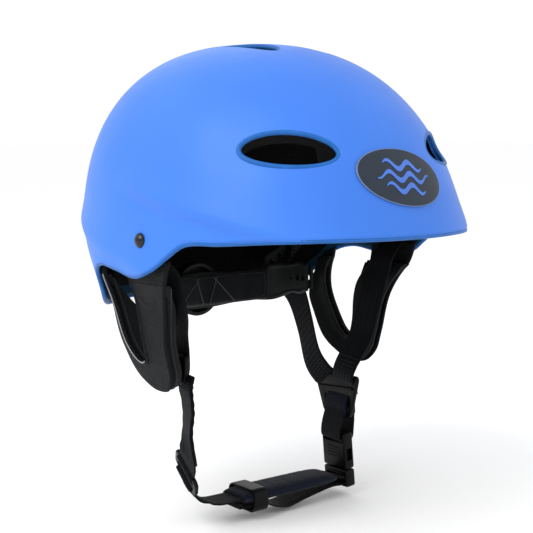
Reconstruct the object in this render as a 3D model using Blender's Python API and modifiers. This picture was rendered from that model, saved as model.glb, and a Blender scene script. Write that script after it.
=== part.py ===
"""Water helmet: shell with ear guards, liner, rear dial cradle, chin straps and side-release buckle.

Metres, +Z up. The wearer looks along -Y, and the wearer's right side is -X.
The origin lies midway between the sides, at the height of the front rim.
"""

import math

import bmesh
import bpy
from mathutils import Matrix, Vector

MM = 0.001

# ---- driving dimensions (metres) ---------------------------------------------------------------
HALF_WIDTH = 109.2 * MM
FRONT_REACH = 127.6 * MM
REAR_REACH = 122.4 * MM
DOME_CENTRE_Y = 11.0 * MM
EQUATOR_Z = -3.9 * MM
DOME_HEIGHT = 121.5 * MM
HEIGHT_EXPONENT = 2.39
PLAN_EXPONENT = 2.35
VISOR_FLARE = 25.0 * MM
FLARE_TOP_Z = 128.0 * MM
FLARE_SPAN = 140.0 * MM

SHELL_THICK = 3.0 * MM
LINER_GAP = 1.0 * MM
LINER_THICK = 10.0 * MM
LINER_EDGE_Z = 27.0 * MM
PAD_GAP = 1.8 * MM
PAD_THICK = 6.0 * MM
CROWN_PAD_SIZE = (8.0 * MM, 44.0 * MM)

# rim height in millimetres at each azimuth in degrees, 0 at the brow and 180 at the nape
RIM = ((0, 0), (30, -0.3), (50, -3), (60, -4.5), (66, -13), (72, -21.5), (80, -26.5), (90, -23.5),
       (99, -22), (107, -27.5), (113, -40), (120, -50), (132, -56), (156, -57), (180, -57))

WEB_WIDTH = 20.0 * MM
WEB_THICK = 1.6 * MM

SIDE_RIVET = (-21.0 * MM, -4.0 * MM)
REAR_RIVET_AZIMUTH = 138.0
REAR_RIVET_Z = -20.0 * MM
RIVET_SHANK_R = 2.4 * MM
RIVET_HOLE_R = 2.8 * MM
RIVET_HEAD_R = 4.6 * MM

GUARD_AXIS_X = 104.5 * MM
GUARD_AXIS_Z = -20.0 * MM
GUARD_THICK = 2.6 * MM
GUARD_FACE_X = 103.0 * MM
GUARD_TILT = 0.26
GUARD_BEND_Z = -30.0 * MM
EAR_PAD_THICK = 9.0 * MM

CRADLE_HEIGHT = 26.0 * MM
CRADLE_THICK = 2.6 * MM
CRADLE_Z = -52.0 * MM
CRADLE_REAR_Y = 72.0 * MM
CRADLE_HALF_WIDTH = 58.0 * MM
HOUSING_R = 19.0 * MM
DIAL_R = 16.0 * MM
PINION_R = 6.0 * MM
PINION_TEETH = 12

BUCKLE_LEAN = math.radians(5.4)
BUCKLE_CENTRE = Vector((65.0, -2.0, -162.0)) * MM
BUCKLE_WIDTH = 24.0 * MM
BUCKLE_THICK = 8.4 * MM
FEMALE_LENGTH = 26.0 * MM
CHIN_Y = -5.0 * MM
CHIN_Z = -177.0 * MM
CHIN_HINGE_X = -52.0 * MM

SHELL_BLUE = (0.13, 0.36, 0.95)
NEAR_BLACK = (0.012, 0.012, 0.014)
CHARCOAL = (0.035, 0.038, 0.04)
BADGE_NAVY = (0.02, 0.028, 0.04)
FOAM_BLACK = (0.02, 0.02, 0.02)
RIVET_BLACK = (0.03, 0.03, 0.03)
STEEL = (0.55, 0.55, 0.56)


# ---- scene, collections and materials ----------------------------------------------------------
for old in list(bpy.data.objects):
    bpy.data.objects.remove(old, do_unlink=True)

parts = bpy.data.collections.new("water_helmet")
cutters = bpy.data.collections.new("cutters")
bpy.context.scene.collection.children.link(parts)
bpy.context.scene.collection.children.link(cutters)


def material(name, colour, roughness, metallic=0.0):
    mat = bpy.data.materials.new(name)
    mat.use_nodes = True
    shader = mat.node_tree.nodes["Principled BSDF"]
    shader.inputs["Base Color"].default_value = (*colour, 1.0)
    shader.inputs["Roughness"].default_value = roughness
    shader.inputs["Metallic"].default_value = metallic
    mat.diffuse_color = (*colour, 1.0)
    return mat


def finish_for(name):
    """Each sub-part's own material, by what it is made of."""
    rules = (
        ("outer_shell", SHELL_BLUE, 0.38, 0.0),
        ("badge", BADGE_NAVY, 0.5, 0.0),
        ("foam_liner", FOAM_BLACK, 0.95, 0.0),
        ("rivet", RIVET_BLACK, 0.25, 0.0),
        ("washer", STEEL, 0.35, 1.0),
        ("screw", STEEL, 0.35, 1.0),
        ("pad", NEAR_BLACK, 0.9, 0.0),
        ("strap", NEAR_BLACK, 0.8, 0.0),
        ("web", NEAR_BLACK, 0.8, 0.0),
    )
    for key, colour, roughness, metallic in rules:
        if key in name:
            return material(name + "_finish", colour, roughness, metallic)
    return material(name + "_finish", CHARCOAL, 0.5, 0.0)


def add_part(name, mesh, parent=None):
    """A finished sub-part, in world coordinates or on a parent empty at its joint's axis."""
    obj = bpy.data.objects.new(name, mesh)
    parts.objects.link(obj)
    mesh.materials.append(finish_for(name))
    mesh.shade_smooth()
    mesh.set_sharp_from_angle(angle=math.radians(35))
    if parent:
        obj.parent = parent
        obj.matrix_parent_inverse = parent.matrix_world.inverted()
    return obj


def joint_axis(name, location):
    """An empty on a joint's axis, which the moving piece is parented to."""
    empty = bpy.data.objects.new(name, None)
    empty.empty_display_size = 0.01
    empty.matrix_world = Matrix.Translation(location)
    parts.objects.link(empty)
    return empty


def mesh_from(bm, name):
    """A mesh whose faces point out, which for an open dome or strip means away from the origin."""
    bmesh.ops.recalc_face_normals(bm, faces=bm.faces)
    if bm.calc_volume(signed=True) < 0:
        bmesh.ops.reverse_faces(bm, faces=bm.faces)
    mesh = bpy.data.meshes.new(name)
    bm.to_mesh(mesh)
    bm.free()
    return mesh


def solidify(obj, thickness, offset=-1.0):
    mod = obj.modifiers.new("thickness", "SOLIDIFY")
    mod.thickness = thickness
    mod.offset = offset
    mod.use_even_offset = True
    return mod


def cut(obj, cutter):
    mod = obj.modifiers.new("cut_" + cutter.name, "BOOLEAN")
    mod.operation = "DIFFERENCE"
    mod.solver = "EXACT"
    mod.object = cutter
    return mod


def join(obj, tool):
    mod = obj.modifiers.new("join_" + tool.name, "BOOLEAN")
    mod.operation = "UNION"
    mod.solver = "EXACT"
    mod.object = tool
    return mod


def add_tool(name, mesh, matrix=None):
    """A hidden body that a Boolean cuts or joins with."""
    obj = bpy.data.objects.new(name, mesh)
    cutters.objects.link(obj)
    obj.hide_render = True
    obj.display_type = "WIRE"
    if matrix:
        obj.matrix_world = matrix
    return obj


# ---- basic solids --------------------------------------------------------------------------------
def box_mesh(name, size, matrix=None, bevel=0.0):
    bm = bmesh.new()
    bmesh.ops.create_cube(bm, size=1.0)
    bmesh.ops.scale(bm, vec=Vector(size), verts=bm.verts)
    if bevel:
        bmesh.ops.bevel(bm, geom=bm.edges[:], offset=bevel, segments=1, affect="EDGES", profile=0.5)
    if matrix:
        bm.transform(matrix)
    return mesh_from(bm, name)


def cylinder_mesh(name, radius, depth, matrix=None, segments=24, radius_top=None, squash=None):
    """A cylinder or cone along its own Z, centred; squash scales it into an oval first."""
    bm = bmesh.new()
    top = radius if radius_top is None else radius_top
    bmesh.ops.create_cone(bm, cap_ends=True, segments=segments, radius1=radius, radius2=top, depth=depth)
    if squash:
        bmesh.ops.scale(bm, vec=Vector(squash), verts=bm.verts)
    if matrix:
        bm.transform(matrix)
    return mesh_from(bm, name)


def frame_matrix(origin, x_axis, z_axis):
    """A placement whose local Z is z_axis and whose local X leans on x_axis."""
    z_dir = Vector(z_axis).normalized()
    x_dir = (Vector(x_axis) - z_dir * Vector(x_axis).dot(z_dir)).normalized()
    y_dir = z_dir.cross(x_dir)
    rows = Matrix((x_dir, y_dir, z_dir)).transposed().to_4x4()
    rows.translation = Vector(origin)
    return rows


def smooth(value):
    value = min(1.0, max(0.0, value))
    return value * value * (3.0 - 2.0 * value)


def through_knots(knots, at):
    """A smooth curve through (place, value) knots, with slopes from the neighbouring knots."""
    count = len(knots)
    index = 0
    while index < count - 2 and at > knots[index + 1][0]:
        index += 1
    x0, y0 = knots[index]
    x1, y1 = knots[index + 1]
    span = x1 - x0
    step = (y1 - y0) / span
    before = knots[max(index - 1, 0)]
    after = knots[min(index + 2, count - 1)]
    slope0 = (y1 - before[1]) / (x1 - before[0]) if index else step
    slope1 = (after[1] - y0) / (after[0] - x0) if index < count - 2 else step
    u = min(1.0, max(0.0, (at - x0) / span))
    bulge0 = (slope0 - step) * span * u * (1 - u) ** 2
    bulge1 = (step - slope1) * span * u * u * (1 - u)
    return y0 + (y1 - y0) * u + bulge0 + bulge1


def path_point(points, along):
    """A point at 0..1 along a smooth curve through points."""
    place = along * (len(points) - 1)
    axes = [tuple(enumerate(values)) for values in zip(*points)]
    return Vector([through_knots(axis, place) for axis in axes])


# ---- the dome's surface ------------------------------------------------------------------------
def dome_point(azimuth, polar, inset=0.0):
    """The dome without relief: azimuth 0 at the brow, +90 at the wearer's right; polar 0 at the crown."""
    cos_p = math.cos(polar)
    rise = math.copysign(abs(cos_p) ** (2.0 / HEIGHT_EXPONENT), cos_p)
    z = EQUATOR_Z + (DOME_HEIGHT - inset) * rise
    spread = abs(math.sin(polar)) ** (2.0 / PLAN_EXPONENT)
    forward = math.cos(azimuth)
    reach = (FRONT_REACH if forward > 0 else REAR_REACH) - inset
    flare_grow = max(0.0, (FLARE_TOP_Z - z) / FLARE_SPAN) ** 1.3
    flare = VISOR_FLARE * smooth(forward) * flare_grow
    x = -((HALF_WIDTH - inset) * spread + flare) * math.sin(azimuth)
    y = DOME_CENTRE_Y - (reach * spread + flare) * forward
    return Vector((x, y, z))


def polar_at(z, inset=0.0):
    """The polar angle at which the dome reaches height z."""
    rise = (z - EQUATOR_Z) / (DOME_HEIGHT - inset)
    rise = min(1.0, max(-1.0, rise))
    return math.acos(math.copysign(abs(rise) ** (HEIGHT_EXPONENT / 2.0), rise))


def rim_z(azimuth):
    return through_knots(RIM, abs(math.degrees(azimuth))) * MM


def belt_z(degrees):
    """Height of the soft ridge that runs from the ear flap up and round the back."""
    return (-20.0 + 20.0 * smooth((degrees - 78.0) / 50.0)) * MM


def relief(azimuth, z):
    """How far the sculpted surface stands out from the plain dome, horizontally."""
    degrees = abs(math.degrees(azimuth))
    below_ridge = (24.7 - 0.53 * (76.2 - degrees)) * MM - z
    crease = smooth(below_ridge / (8.0 * MM)) * smooth((92.0 - degrees) / 22.0)
    crease *= 1.0 - smooth((below_ridge - 8.0 * MM) / (24.0 * MM))
    below_belt = (belt_z(degrees) - z) / (48.0 * MM)
    tuck = smooth(below_belt) * smooth((degrees - 92.0) / 25.0)
    belt = math.exp(-(((z - belt_z(degrees)) / (6.0 * MM)) ** 2)) * smooth((degrees - 70.0) / 12.0)
    return (-4.0 * crease - 6.5 * tuck + 1.2 * belt) * MM


def shell_point(azimuth, polar):
    point = dome_point(azimuth, polar)
    push = relief(azimuth, point.z)
    return point + Vector((-math.sin(azimuth), -math.cos(azimuth), 0.0)) * push


def surface_frame(azimuth, z, inset=0.0):
    """Place, sideways tangent and outward normal of the dome at an azimuth and height."""
    polar = polar_at(z, inset)
    here = dome_point(azimuth, polar, inset)
    step = 0.01
    aside = (dome_point(azimuth + step, polar, inset) - here).normalized()
    down = (dome_point(azimuth, polar + step, inset) - here).normalized()
    return here, aside, aside.cross(down).normalized()


def dome_mesh(name, columns, rings, surface, edge_z, inset):
    """The upper half of a sphere, laid onto surface(azimuth, polar) down to edge_z(azimuth)."""
    bm = bmesh.new()
    bmesh.ops.create_uvsphere(bm, u_segments=columns, v_segments=rings * 2, radius=1.0)
    lower = [v for v in bm.verts if v.co.z < -0.0001]
    bmesh.ops.delete(bm, geom=lower, context="VERTS")
    for vert in bm.verts:
        fraction = math.acos(min(1.0, max(-1.0, vert.co.z))) / (math.pi / 2)
        azimuth = math.atan2(-vert.co.x, -vert.co.y)
        vert.co = surface(azimuth, fraction * polar_at(edge_z(azimuth), inset))
    return mesh_from(bm, name)


def patch_mesh(name, spans, columns, rows, inset):
    """A patch of the dome between two azimuths (degrees) and two heights, rounded at its corners."""
    (left, right), (low, high) = spans
    bm = bmesh.new()
    bmesh.ops.create_grid(bm, x_segments=columns, y_segments=rows, size=1.0)
    for vert in bm.verts:
        across, up = vert.co.x, vert.co.y
        narrow = 1.0 - 0.06 * up * up
        lower = 1.0 - 0.10 * across * across
        azimuth = math.radians((left + right) / 2 + (right - left) / 2 * across * narrow)
        z = (low + high) / 2 + (high - low) / 2 * up * lower
        vert.co = dome_point(azimuth, polar_at(z, inset), inset)
    return mesh_from(bm, name)


def ribbon_mesh(name, points, across, width, steps, columns=2):
    """Webbing as an open strip: width directions are interpolated along the same curve as the points."""
    bm = bmesh.new()
    bmesh.ops.create_grid(bm, x_segments=columns, y_segments=steps, size=1.0)
    for vert in bm.verts:
        along = (vert.co.y + 1.0) / 2
        side = vert.co.x
        direction = path_point(across, along).normalized()
        vert.co = path_point(points, along) * MM + direction * side * width / 2
    return mesh_from(bm, name)


def add_ribbon(name, points, across, width=WEB_WIDTH, steps=14, thick=WEB_THICK, parent=None):
    obj = add_part(name, ribbon_mesh(name, points, across, width, steps), parent)
    solidify(obj, thick, 0.0)
    return obj


def mirrored(points):
    return [(-x, y, z) for x, y, z in points]


def turned(name, profile, placement, parent=None, steps=24):
    """A turned solid: (radius, height) points in millimetres, down its outer side, about local Z."""
    bm = bmesh.new()
    verts = [bm.verts.new((radius * MM, 0.0, height * MM)) for radius, height in profile]
    for first, second in zip(verts, verts[1:]):
        bm.edges.new((first, second))
    mesh = bpy.data.meshes.new(name)
    bm.to_mesh(mesh)
    bm.free()
    obj = add_part(name, mesh)
    obj.matrix_world = placement
    if parent:
        obj.parent = parent
        obj.matrix_parent_inverse = parent.matrix_world.inverted()
    screw = obj.modifiers.new("turn", "SCREW")
    screw.axis = "Z"
    screw.angle = 2 * math.pi
    screw.steps = steps
    screw.render_steps = steps
    screw.use_merge_vertices = True
    screw.merge_threshold = 0.00002
    return obj


def outline_mesh(name, loops, thickness, matrix):
    """A flat plate: 2D loops in millimetres, the first one outside and the rest holes."""
    curve = bpy.data.curves.new(name, "CURVE")
    curve.dimensions = "2D"
    curve.fill_mode = "BOTH"
    curve.extrude = thickness / 2
    for loop in loops:
        spline = curve.splines.new("POLY")
        spline.points.add(len(loop) - 1)
        for point, (x, y) in zip(spline.points, loop):
            point.co = (x * MM, y * MM, 0.0, 1.0)
        spline.use_cyclic_u = True
    holder = bpy.data.objects.new(name + "_outline", curve)
    bpy.context.scene.collection.objects.link(holder)
    graph = bpy.context.evaluated_depsgraph_get()
    flat = bpy.data.meshes.new_from_object(holder.evaluated_get(graph))
    bpy.data.objects.remove(holder, do_unlink=True)
    bm = bmesh.new()
    bm.from_mesh(flat)
    bmesh.ops.remove_doubles(bm, verts=bm.verts, dist=0.00001)
    bm.transform(matrix)
    return mesh_from(bm, name)


def rounded_loop(corners, radius, steps=4):
    """A closed outline through corners (millimetres), each corner rounded by a curve of that size."""
    loop = []
    count = len(corners)
    for index, corner in enumerate(corners):
        here = Vector(corner)
        before = Vector(corners[index - 1])
        after = Vector(corners[(index + 1) % count])
        start = here + (before - here).normalized() * radius
        end = here + (after - here).normalized() * radius
        for step in range(steps + 1):
            u = step / steps
            point = start * (1 - u) ** 2 + here * 2 * u * (1 - u) + end * u * u
            loop.append((point.x, point.y))
    return loop


def slab_mesh(name, outer, inner, front_face, back_face, steps, columns=2):
    """A plate between two outlines in the side view (y, z millimetres) and two face functions x(y, z)."""
    bm = bmesh.new()
    bmesh.ops.create_grid(bm, x_segments=columns, y_segments=steps, size=1.0)
    for vert in bm.verts:
        along = (vert.co.y + 1.0) / 2
        blend = (vert.co.x + 1.0) / 2
        edge = path_point(outer, along).lerp(path_point(inner, along), blend) * MM
        vert.co = Vector((front_face(edge.x, edge.y), edge.x, edge.y))
    grown = bmesh.ops.extrude_face_region(bm, geom=bm.faces[:])["geom"]
    for vert in (item for item in grown if isinstance(item, bmesh.types.BMVert)):
        vert.co.x = back_face(vert.co.y, vert.co.z)
    bm.faces.ensure_lookup_table()
    return mesh_from(bm, name)


# ---- shell, liner and comfort pads -------------------------------------------------------------
def vent_places():
    """Oval vents: (name, placement on the dome, half length, half height)."""
    places = []
    for side, sign in (("right", 1), ("left", -1)):
        for name, degrees, z, lean, half_length, half_height in (
            ("front", 32.0, 50.5, 2.5, 28.5, 11.3),
            ("rear", 148.0, 72.0, -6.0, 29.0, 9.5),
        ):
            here, aside, normal = surface_frame(math.radians(degrees) * sign, z * MM)
            long_axis = aside * math.cos(math.radians(lean)) * sign
            long_axis.z += math.sin(math.radians(lean))
            size = (half_length * MM, half_height * MM)
            places.append((name + "_vent_" + side, frame_matrix(here, long_axis, normal), size))
        top = dome_point(math.radians(64.0) * sign, math.radians(12.8))
        slope = Vector((-0.13 * sign, -0.02, 1.0))
        top.x = -21.0 * MM * sign
        top.y = -10.0 * MM
        places.append(("top_vent_" + side, frame_matrix(top, (0, 1, 0), slope), (30.0 * MM, 11.0 * MM)))
    return places


def add_vent_tools():
    tools = []
    for name, place, (half_length, half_height) in vent_places():
        oval = (half_length, half_height, 1.0)
        mesh = cylinder_mesh(name, 1.0, 60.0 * MM, place, segments=28, squash=oval)
        tools.append(add_tool(name, mesh))
    return tools


def rivet_frame(azimuth_sign, kind):
    """Where a rivet crosses the shell wall, and its outward direction."""
    if kind == "side":
        y, z = SIDE_RIVET
        azimuth = math.radians(76.0)
        for _ in range(8):
            here = shell_point(azimuth, polar_at(z))
            azimuth += (here.y - y) / -HALF_WIDTH
    else:
        z = REAR_RIVET_Z
        azimuth = math.radians(REAR_RIVET_AZIMUTH)
    azimuth *= azimuth_sign
    here = shell_point(azimuth, polar_at(z))
    _, _, normal = surface_frame(azimuth, z)
    normal.z = 0.0
    return here, normal.normalized()


vent_tools = add_vent_tools()

shell = add_part("outer_shell", dome_mesh("outer_shell", 60, 14, shell_point, rim_z, 0.0))
solidify(shell, SHELL_THICK)

liner_inset = SHELL_THICK + LINER_GAP + 0.4 * MM


def liner_point(azimuth, polar):
    return dome_point(azimuth, polar, liner_inset)


liner = add_part("foam_liner", dome_mesh("foam_liner", 40, 8, liner_point, lambda _: LINER_EDGE_Z,
                 liner_inset))
solidify(liner, LINER_THICK)

for tool in vent_tools:
    cut(shell, tool)
    cut(liner, tool)

pad_inset = liner_inset + LINER_THICK + PAD_GAP
for pad_name, pad_spans, pad_columns in (
    ("brow_pad", ((-46, 46), (28 * MM, 38 * MM)), 12),
    ("nape_pad", ((136, 224), (28 * MM, 38 * MM)), 10),
    ("side_pad_right", ((66, 108), (30 * MM, 62 * MM)), 6),
    ("side_pad_left", ((-108, -66), (30 * MM, 62 * MM)), 6),
):
    pad = add_part(pad_name, patch_mesh(pad_name, pad_spans, pad_columns, 3, pad_inset))
    solidify(pad, PAD_THICK)


def dome_over(x, y, inset):
    """The dome's surface above a place in plan, found by halving the polar angle's range."""
    azimuth = math.atan2(-x, DOME_CENTRE_Y - y)
    low, high = 0.0, math.pi / 2
    for _ in range(24):
        polar = (low + high) / 2
        here = dome_point(azimuth, polar, inset)
        if math.hypot(here.x, here.y - DOME_CENTRE_Y) < math.hypot(x, y - DOME_CENTRE_Y):
            low = polar
        else:
            high = polar
    return Vector((x, y, dome_point(azimuth, polar, inset).z))


def crown_mesh(name):
    """A long pad between the two top vents."""
    bm = bmesh.new()
    bmesh.ops.create_grid(bm, x_segments=3, y_segments=10, size=1.0)
    for vert in bm.verts:
        half_width = CROWN_PAD_SIZE[0] * (1.0 - 0.35 * vert.co.y ** 4)
        x = vert.co.x * half_width
        y = DOME_CENTRE_Y + vert.co.y * CROWN_PAD_SIZE[1]
        vert.co = dome_over(x, y, pad_inset)
    return mesh_from(bm, name)


crown = add_part("crown_pad", crown_mesh("crown_pad"))
solidify(crown, PAD_THICK)


# ---- badge and rivets --------------------------------------------------------------------------
badge_place, badge_aside, badge_normal = surface_frame(math.radians(-1.0), 33.5 * MM)
badge_long = Vector((-0.995, 0.0, 0.1))
badge_frame = frame_matrix(badge_place, badge_long, badge_normal)
BADGE_SIZE = (38.0 * MM, 17.6 * MM)
BADGE_THICK = 1.2 * MM
BADGE_LIFT = 0.5 * MM


def badge_mesh():
    """A thin oval plate that follows the brow's curve."""
    bm = bmesh.new()
    bmesh.ops.create_circle(bm, cap_ends=True, cap_tris=True, segments=36, radius=1.0)
    bmesh.ops.subdivide_edges(bm, edges=bm.edges[:], cuts=2, use_grid_fill=True)
    for vert in bm.verts:
        flat = badge_frame @ Vector((vert.co.x * BADGE_SIZE[0], vert.co.y * BADGE_SIZE[1], 0.0))
        azimuth = math.atan2(-flat.x, DOME_CENTRE_Y - flat.y)
        here, _, normal = surface_frame(azimuth, flat.z)
        vert.co = here + normal * (BADGE_LIFT + BADGE_THICK)
    return mesh_from(bm, "badge")


badge = add_part("badge", badge_mesh())
solidify(badge, BADGE_THICK)

RIVET_PROFILE = ((0, 3.1), (1.8, 2.9), (3.2, 2.2), (4.2, 1.2), (4.6, 0.5), (2.4, 0.5), (2.4, -9.8),
                 (4.0, -9.8),
                 (4.0, -10.8), (0, -10.8))
WASHER_PROFILE = ((5.0, -8.6), (5.0, -9.4), (2.8, -9.4), (2.8, -8.6), (5.0, -8.6))
rivet_tools = {}
for kind in ("side", "rear"):
    for side, sign in (("right", 1), ("left", -1)):
        here, outward = rivet_frame(sign, kind)
        place = frame_matrix(here, (0, 0, 1), outward)
        name = kind + "_rivet_" + side
        turned(name, RIVET_PROFILE, place, steps=16)
        turned(kind + "_washer_" + side, WASHER_PROFILE, place, steps=16)
        hole = cylinder_mesh(name + "_hole", RIVET_HOLE_R, 40 * MM, place, segments=16)
        rivet_tools[name] = add_tool(name + "_hole", hole)
        cut(shell, rivet_tools[name])

# ---- ear guards: a moulded plate with an opening over the ear, and a foam pad behind it -----------
GUARD_OUTER = ((48, -28), (48.5, -38), (46, -50), (42, -63), (33, -78), (24, -90), (13, -97.5), (1, -101.5),
               (-11, -100), (-18.5, -92), (-20, -80), (-21, -66), (-24, -52), (-29, -40), (-36, -28),
               (-41, -15))
GUARD_INNER = ((39, -24), (39.5, -36), (37, -48), (33, -58), (28, -67), (23, -74), (17, -80), (10, -83.5),
               (5, -82), (4.5, -76), (5, -68), (6, -59), (6, -49), (5, -39), (4, -28), (3, -15))
PAD_OUTER = ((49, -31), (48, -40), (45, -52), (40.5, -64), (32, -78), (23, -89), (12.5, -96), (1, -100),
             (-10.5, -98.5), (-17, -91), (-18.5, -80), (-19.5, -66), (-22.5, -53), (-27, -43),
             (-31, -36), (-34, -31))
PAD_INNER = ((40, -31), (40, -39), (38, -49), (34, -59), (29, -68), (24, -75), (17.5, -81.5), (10, -85),
             (4, -83), (3.5, -76), (4, -68), (5, -59), (5, -50), (4.5, -42), (4, -36), (3.5, -31))


def guard_face(y, z):
    """X of the left guard plate's outer face: upright at the top, leaning in below, wrapped at the back."""
    lean = GUARD_TILT * max(0.0, GUARD_BEND_Z - z)
    wrap = 5.4 * MM * max(0.0, (y - 10 * MM) / (35 * MM)) ** 2
    return GUARD_FACE_X - lean - wrap


def pad_back(y, z):
    """X of the ear pad's soft inner face: the pad is thicker behind the ear."""
    thick = EAR_PAD_THICK + 5.0 * MM * smooth((y - 5 * MM) / (30 * MM))
    return guard_face(y, z) - GUARD_THICK - 0.4 * MM - thick


def add_ear_guard(side, sign):
    axis = joint_axis("ear_guard_" + side + "_axis", (GUARD_AXIS_X * sign, 0.0, GUARD_AXIS_Z))
    plate = slab_mesh("ear_guard_" + side, GUARD_OUTER, GUARD_INNER, lambda y, z: sign * guard_face(y, z),
                      lambda y, z: sign * (guard_face(y, z) - GUARD_THICK), 30)
    add_part("ear_guard_" + side, plate, axis)
    foam = slab_mesh("ear_pad_" + side, PAD_OUTER, PAD_INNER,
                     lambda y, z: sign * (guard_face(y, z) - GUARD_THICK - 0.4 * MM),
                     lambda y, z: sign * pad_back(y, z), 26)
    add_part("ear_pad_" + side, foam, axis)


add_ear_guard("right", -1)
add_ear_guard("left", 1)

# ---- rear retention: perforated arms, sliding cradle, dial, pinion and racks ----------------------
ARM_PATH = ((90.8, 64.5, -7), (87.5, 64, -13), (77, 62, -24), (66, 55, -35), (61, 42, -42),
            (61, 30, -43), (61, 22, -43))
ARM_ACROSS = ((0, 0.3, 1), (0, 0.3, 1), (0.3, 0.1, 1), (0.2, 0, 1), (0, 0, 1), (0, 0, 1), (0, 0, 1))
ARM_WIDTH = 16.0 * MM
ARM_THICK = 2.2 * MM
arm_hole_y = (26.0 * MM, 33.0 * MM, 40.0 * MM)
for side, sign in (("right", -1), ("left", 1)):
    path = [(x * sign, y, z) for x, y, z in ARM_PATH]
    lean = [(x * sign, y, z) for x, y, z in ARM_ACROSS]
    arm = add_ribbon("fit_arm_" + side, path, lean, ARM_WIDTH, 14, ARM_THICK)
    for number, y in enumerate(arm_hole_y):
        place = frame_matrix((61 * MM * sign, y, -43 * MM), (0, 1, 0), (1, 0, 0))
        tool_name = "arm_hole_%s_%d" % (side, number)
        cut(arm, add_tool(tool_name, cylinder_mesh(tool_name, 2.2 * MM, 12 * MM, place, segments=12)))

cradle_axis = joint_axis("cradle_slide_axis", (0.0, CRADLE_REAR_Y, CRADLE_Z))
CRADLE_PATH = ((-57.9, 24, -43), (-57.9, 38, -44), (-53, 55, -48), (-36, 67.5, -51), (0, 72, -52),
               (36, 67.5, -51), (53, 55, -48), (57.9, 38, -44), (57.9, 24, -43))
CRADLE_ACROSS = ((0, 0, 1),) * len(CRADLE_PATH)
add_ribbon("cradle", CRADLE_PATH, CRADLE_ACROSS, CRADLE_HEIGHT, 26, CRADLE_THICK, cradle_axis)
PAD_PATH = ((-47, 55, -49), (-33, 64, -51), (0, 68.2, -52), (33, 64, -51), (47, 55, -49))
add_ribbon("cradle_pad", PAD_PATH, CRADLE_ACROSS[:5], CRADLE_HEIGHT - 4 * MM, 16, 3.6 * MM, cradle_axis)

dial_place = frame_matrix((0.0, CRADLE_REAR_Y, CRADLE_Z), (1, 0, 0), (0, 1, 0))
HOUSING_PROFILE = ((19, 4.0), (19, 12.5), (17, 14.0), (4.6, 14.0), (4.6, 11.8), (16.5, 11.8),
                   (16.5, 4.0), (19, 4.0))
housing_profile = [(radius, height) for radius, height in reversed(HOUSING_PROFILE)]
housing = turned("dial_housing", housing_profile, dial_place, cradle_axis)
dial_axis = joint_axis("dial_axis", (0.0, CRADLE_REAR_Y, CRADLE_Z))
dial_axis.parent = cradle_axis
dial_axis.matrix_parent_inverse = cradle_axis.matrix_world.inverted()
KNOB_PROFILE = ((0, 23.5), (13.5, 23.5), (15.5, 22.0), (16, 14.6), (4.0, 14.6), (4.0, 10.4), (0, 10.4))
knob = turned("dial_knob", KNOB_PROFILE, dial_place, dial_axis, steps=32)
KNOB_FLUTES = 12
for number in range(KNOB_FLUTES):
    turn = Matrix.Rotation(2 * math.pi * number / KNOB_FLUTES, 4, "Y")
    spot = Matrix.Translation((0.0, CRADLE_REAR_Y + 20 * MM, CRADLE_Z)) @ turn
    place = spot @ Matrix.Translation((0.0, 0.0, 17.2 * MM)) @ Matrix.Rotation(math.pi / 2, 4, "X")
    tool_name = "flute_%d" % number
    cut(knob, add_tool(tool_name, cylinder_mesh(tool_name, 2.4 * MM, 16 * MM, place, segments=8)))

TOOTH_PITCH = 2 * math.pi * PINION_R / PINION_TEETH / MM
GEAR_FACE = 4.0 * MM
GEAR_Y = CRADLE_REAR_Y + 7.8 * MM


def pinion_loop():
    """The pinion's outline: one tooth of straight flanks for each step round."""
    loop = []
    for tooth in range(PINION_TEETH):
        middle = 2 * math.pi * tooth / PINION_TEETH + math.pi / 2
        for radius, half_width in ((5.0, 1.0), (6.8, 0.4), (6.8, -0.4), (5.0, -1.0)):
            angle = middle - half_width / radius
            loop.append((radius * math.cos(angle), radius * math.sin(angle)))
    return loop


def rack_loop():
    """The right rack's outline, teeth down: it slides over the pinion's top."""
    back, root, tip = 10.6, 7.4, 5.3
    loop = [(-40.0, back), (-40.0, root)]
    for tooth in range(-5, 2):
        middle = (tooth + 0.5) * TOOTH_PITCH
        loop += [(middle - 0.95, root), (middle - 0.35, tip), (middle + 0.35, tip), (middle + 0.95, root)]
    loop += [(6.5, root), (6.5, back)]
    return loop


gear_place = frame_matrix((0.0, GEAR_Y, CRADLE_Z), (1, 0, 0), (0, -1, 0))
pinion = add_part("pinion", outline_mesh("pinion", [pinion_loop()], GEAR_FACE, gear_place), dial_axis)
for side, turn in (("right", 0.0), ("left", math.pi)):
    place = Matrix.Translation((0.0, GEAR_Y, CRADLE_Z)) @ Matrix.Rotation(turn, 4, "Y")
    place = place @ frame_matrix((0, 0, 0), (1, 0, 0), (0, -1, 0))
    add_part("rack_" + side, outline_mesh("rack_" + side, [rack_loop()], GEAR_FACE, place), cradle_axis)
for name, z in (("upper_rack_way", 8.0), ("lower_rack_way", -8.0)):
    place = Matrix.Translation((0.0, GEAR_Y, CRADLE_Z + z * MM))
    cut(housing, add_tool(name, box_mesh(name, (60 * MM, GEAR_FACE + 1 * MM, 6.4 * MM), place)))

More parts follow.
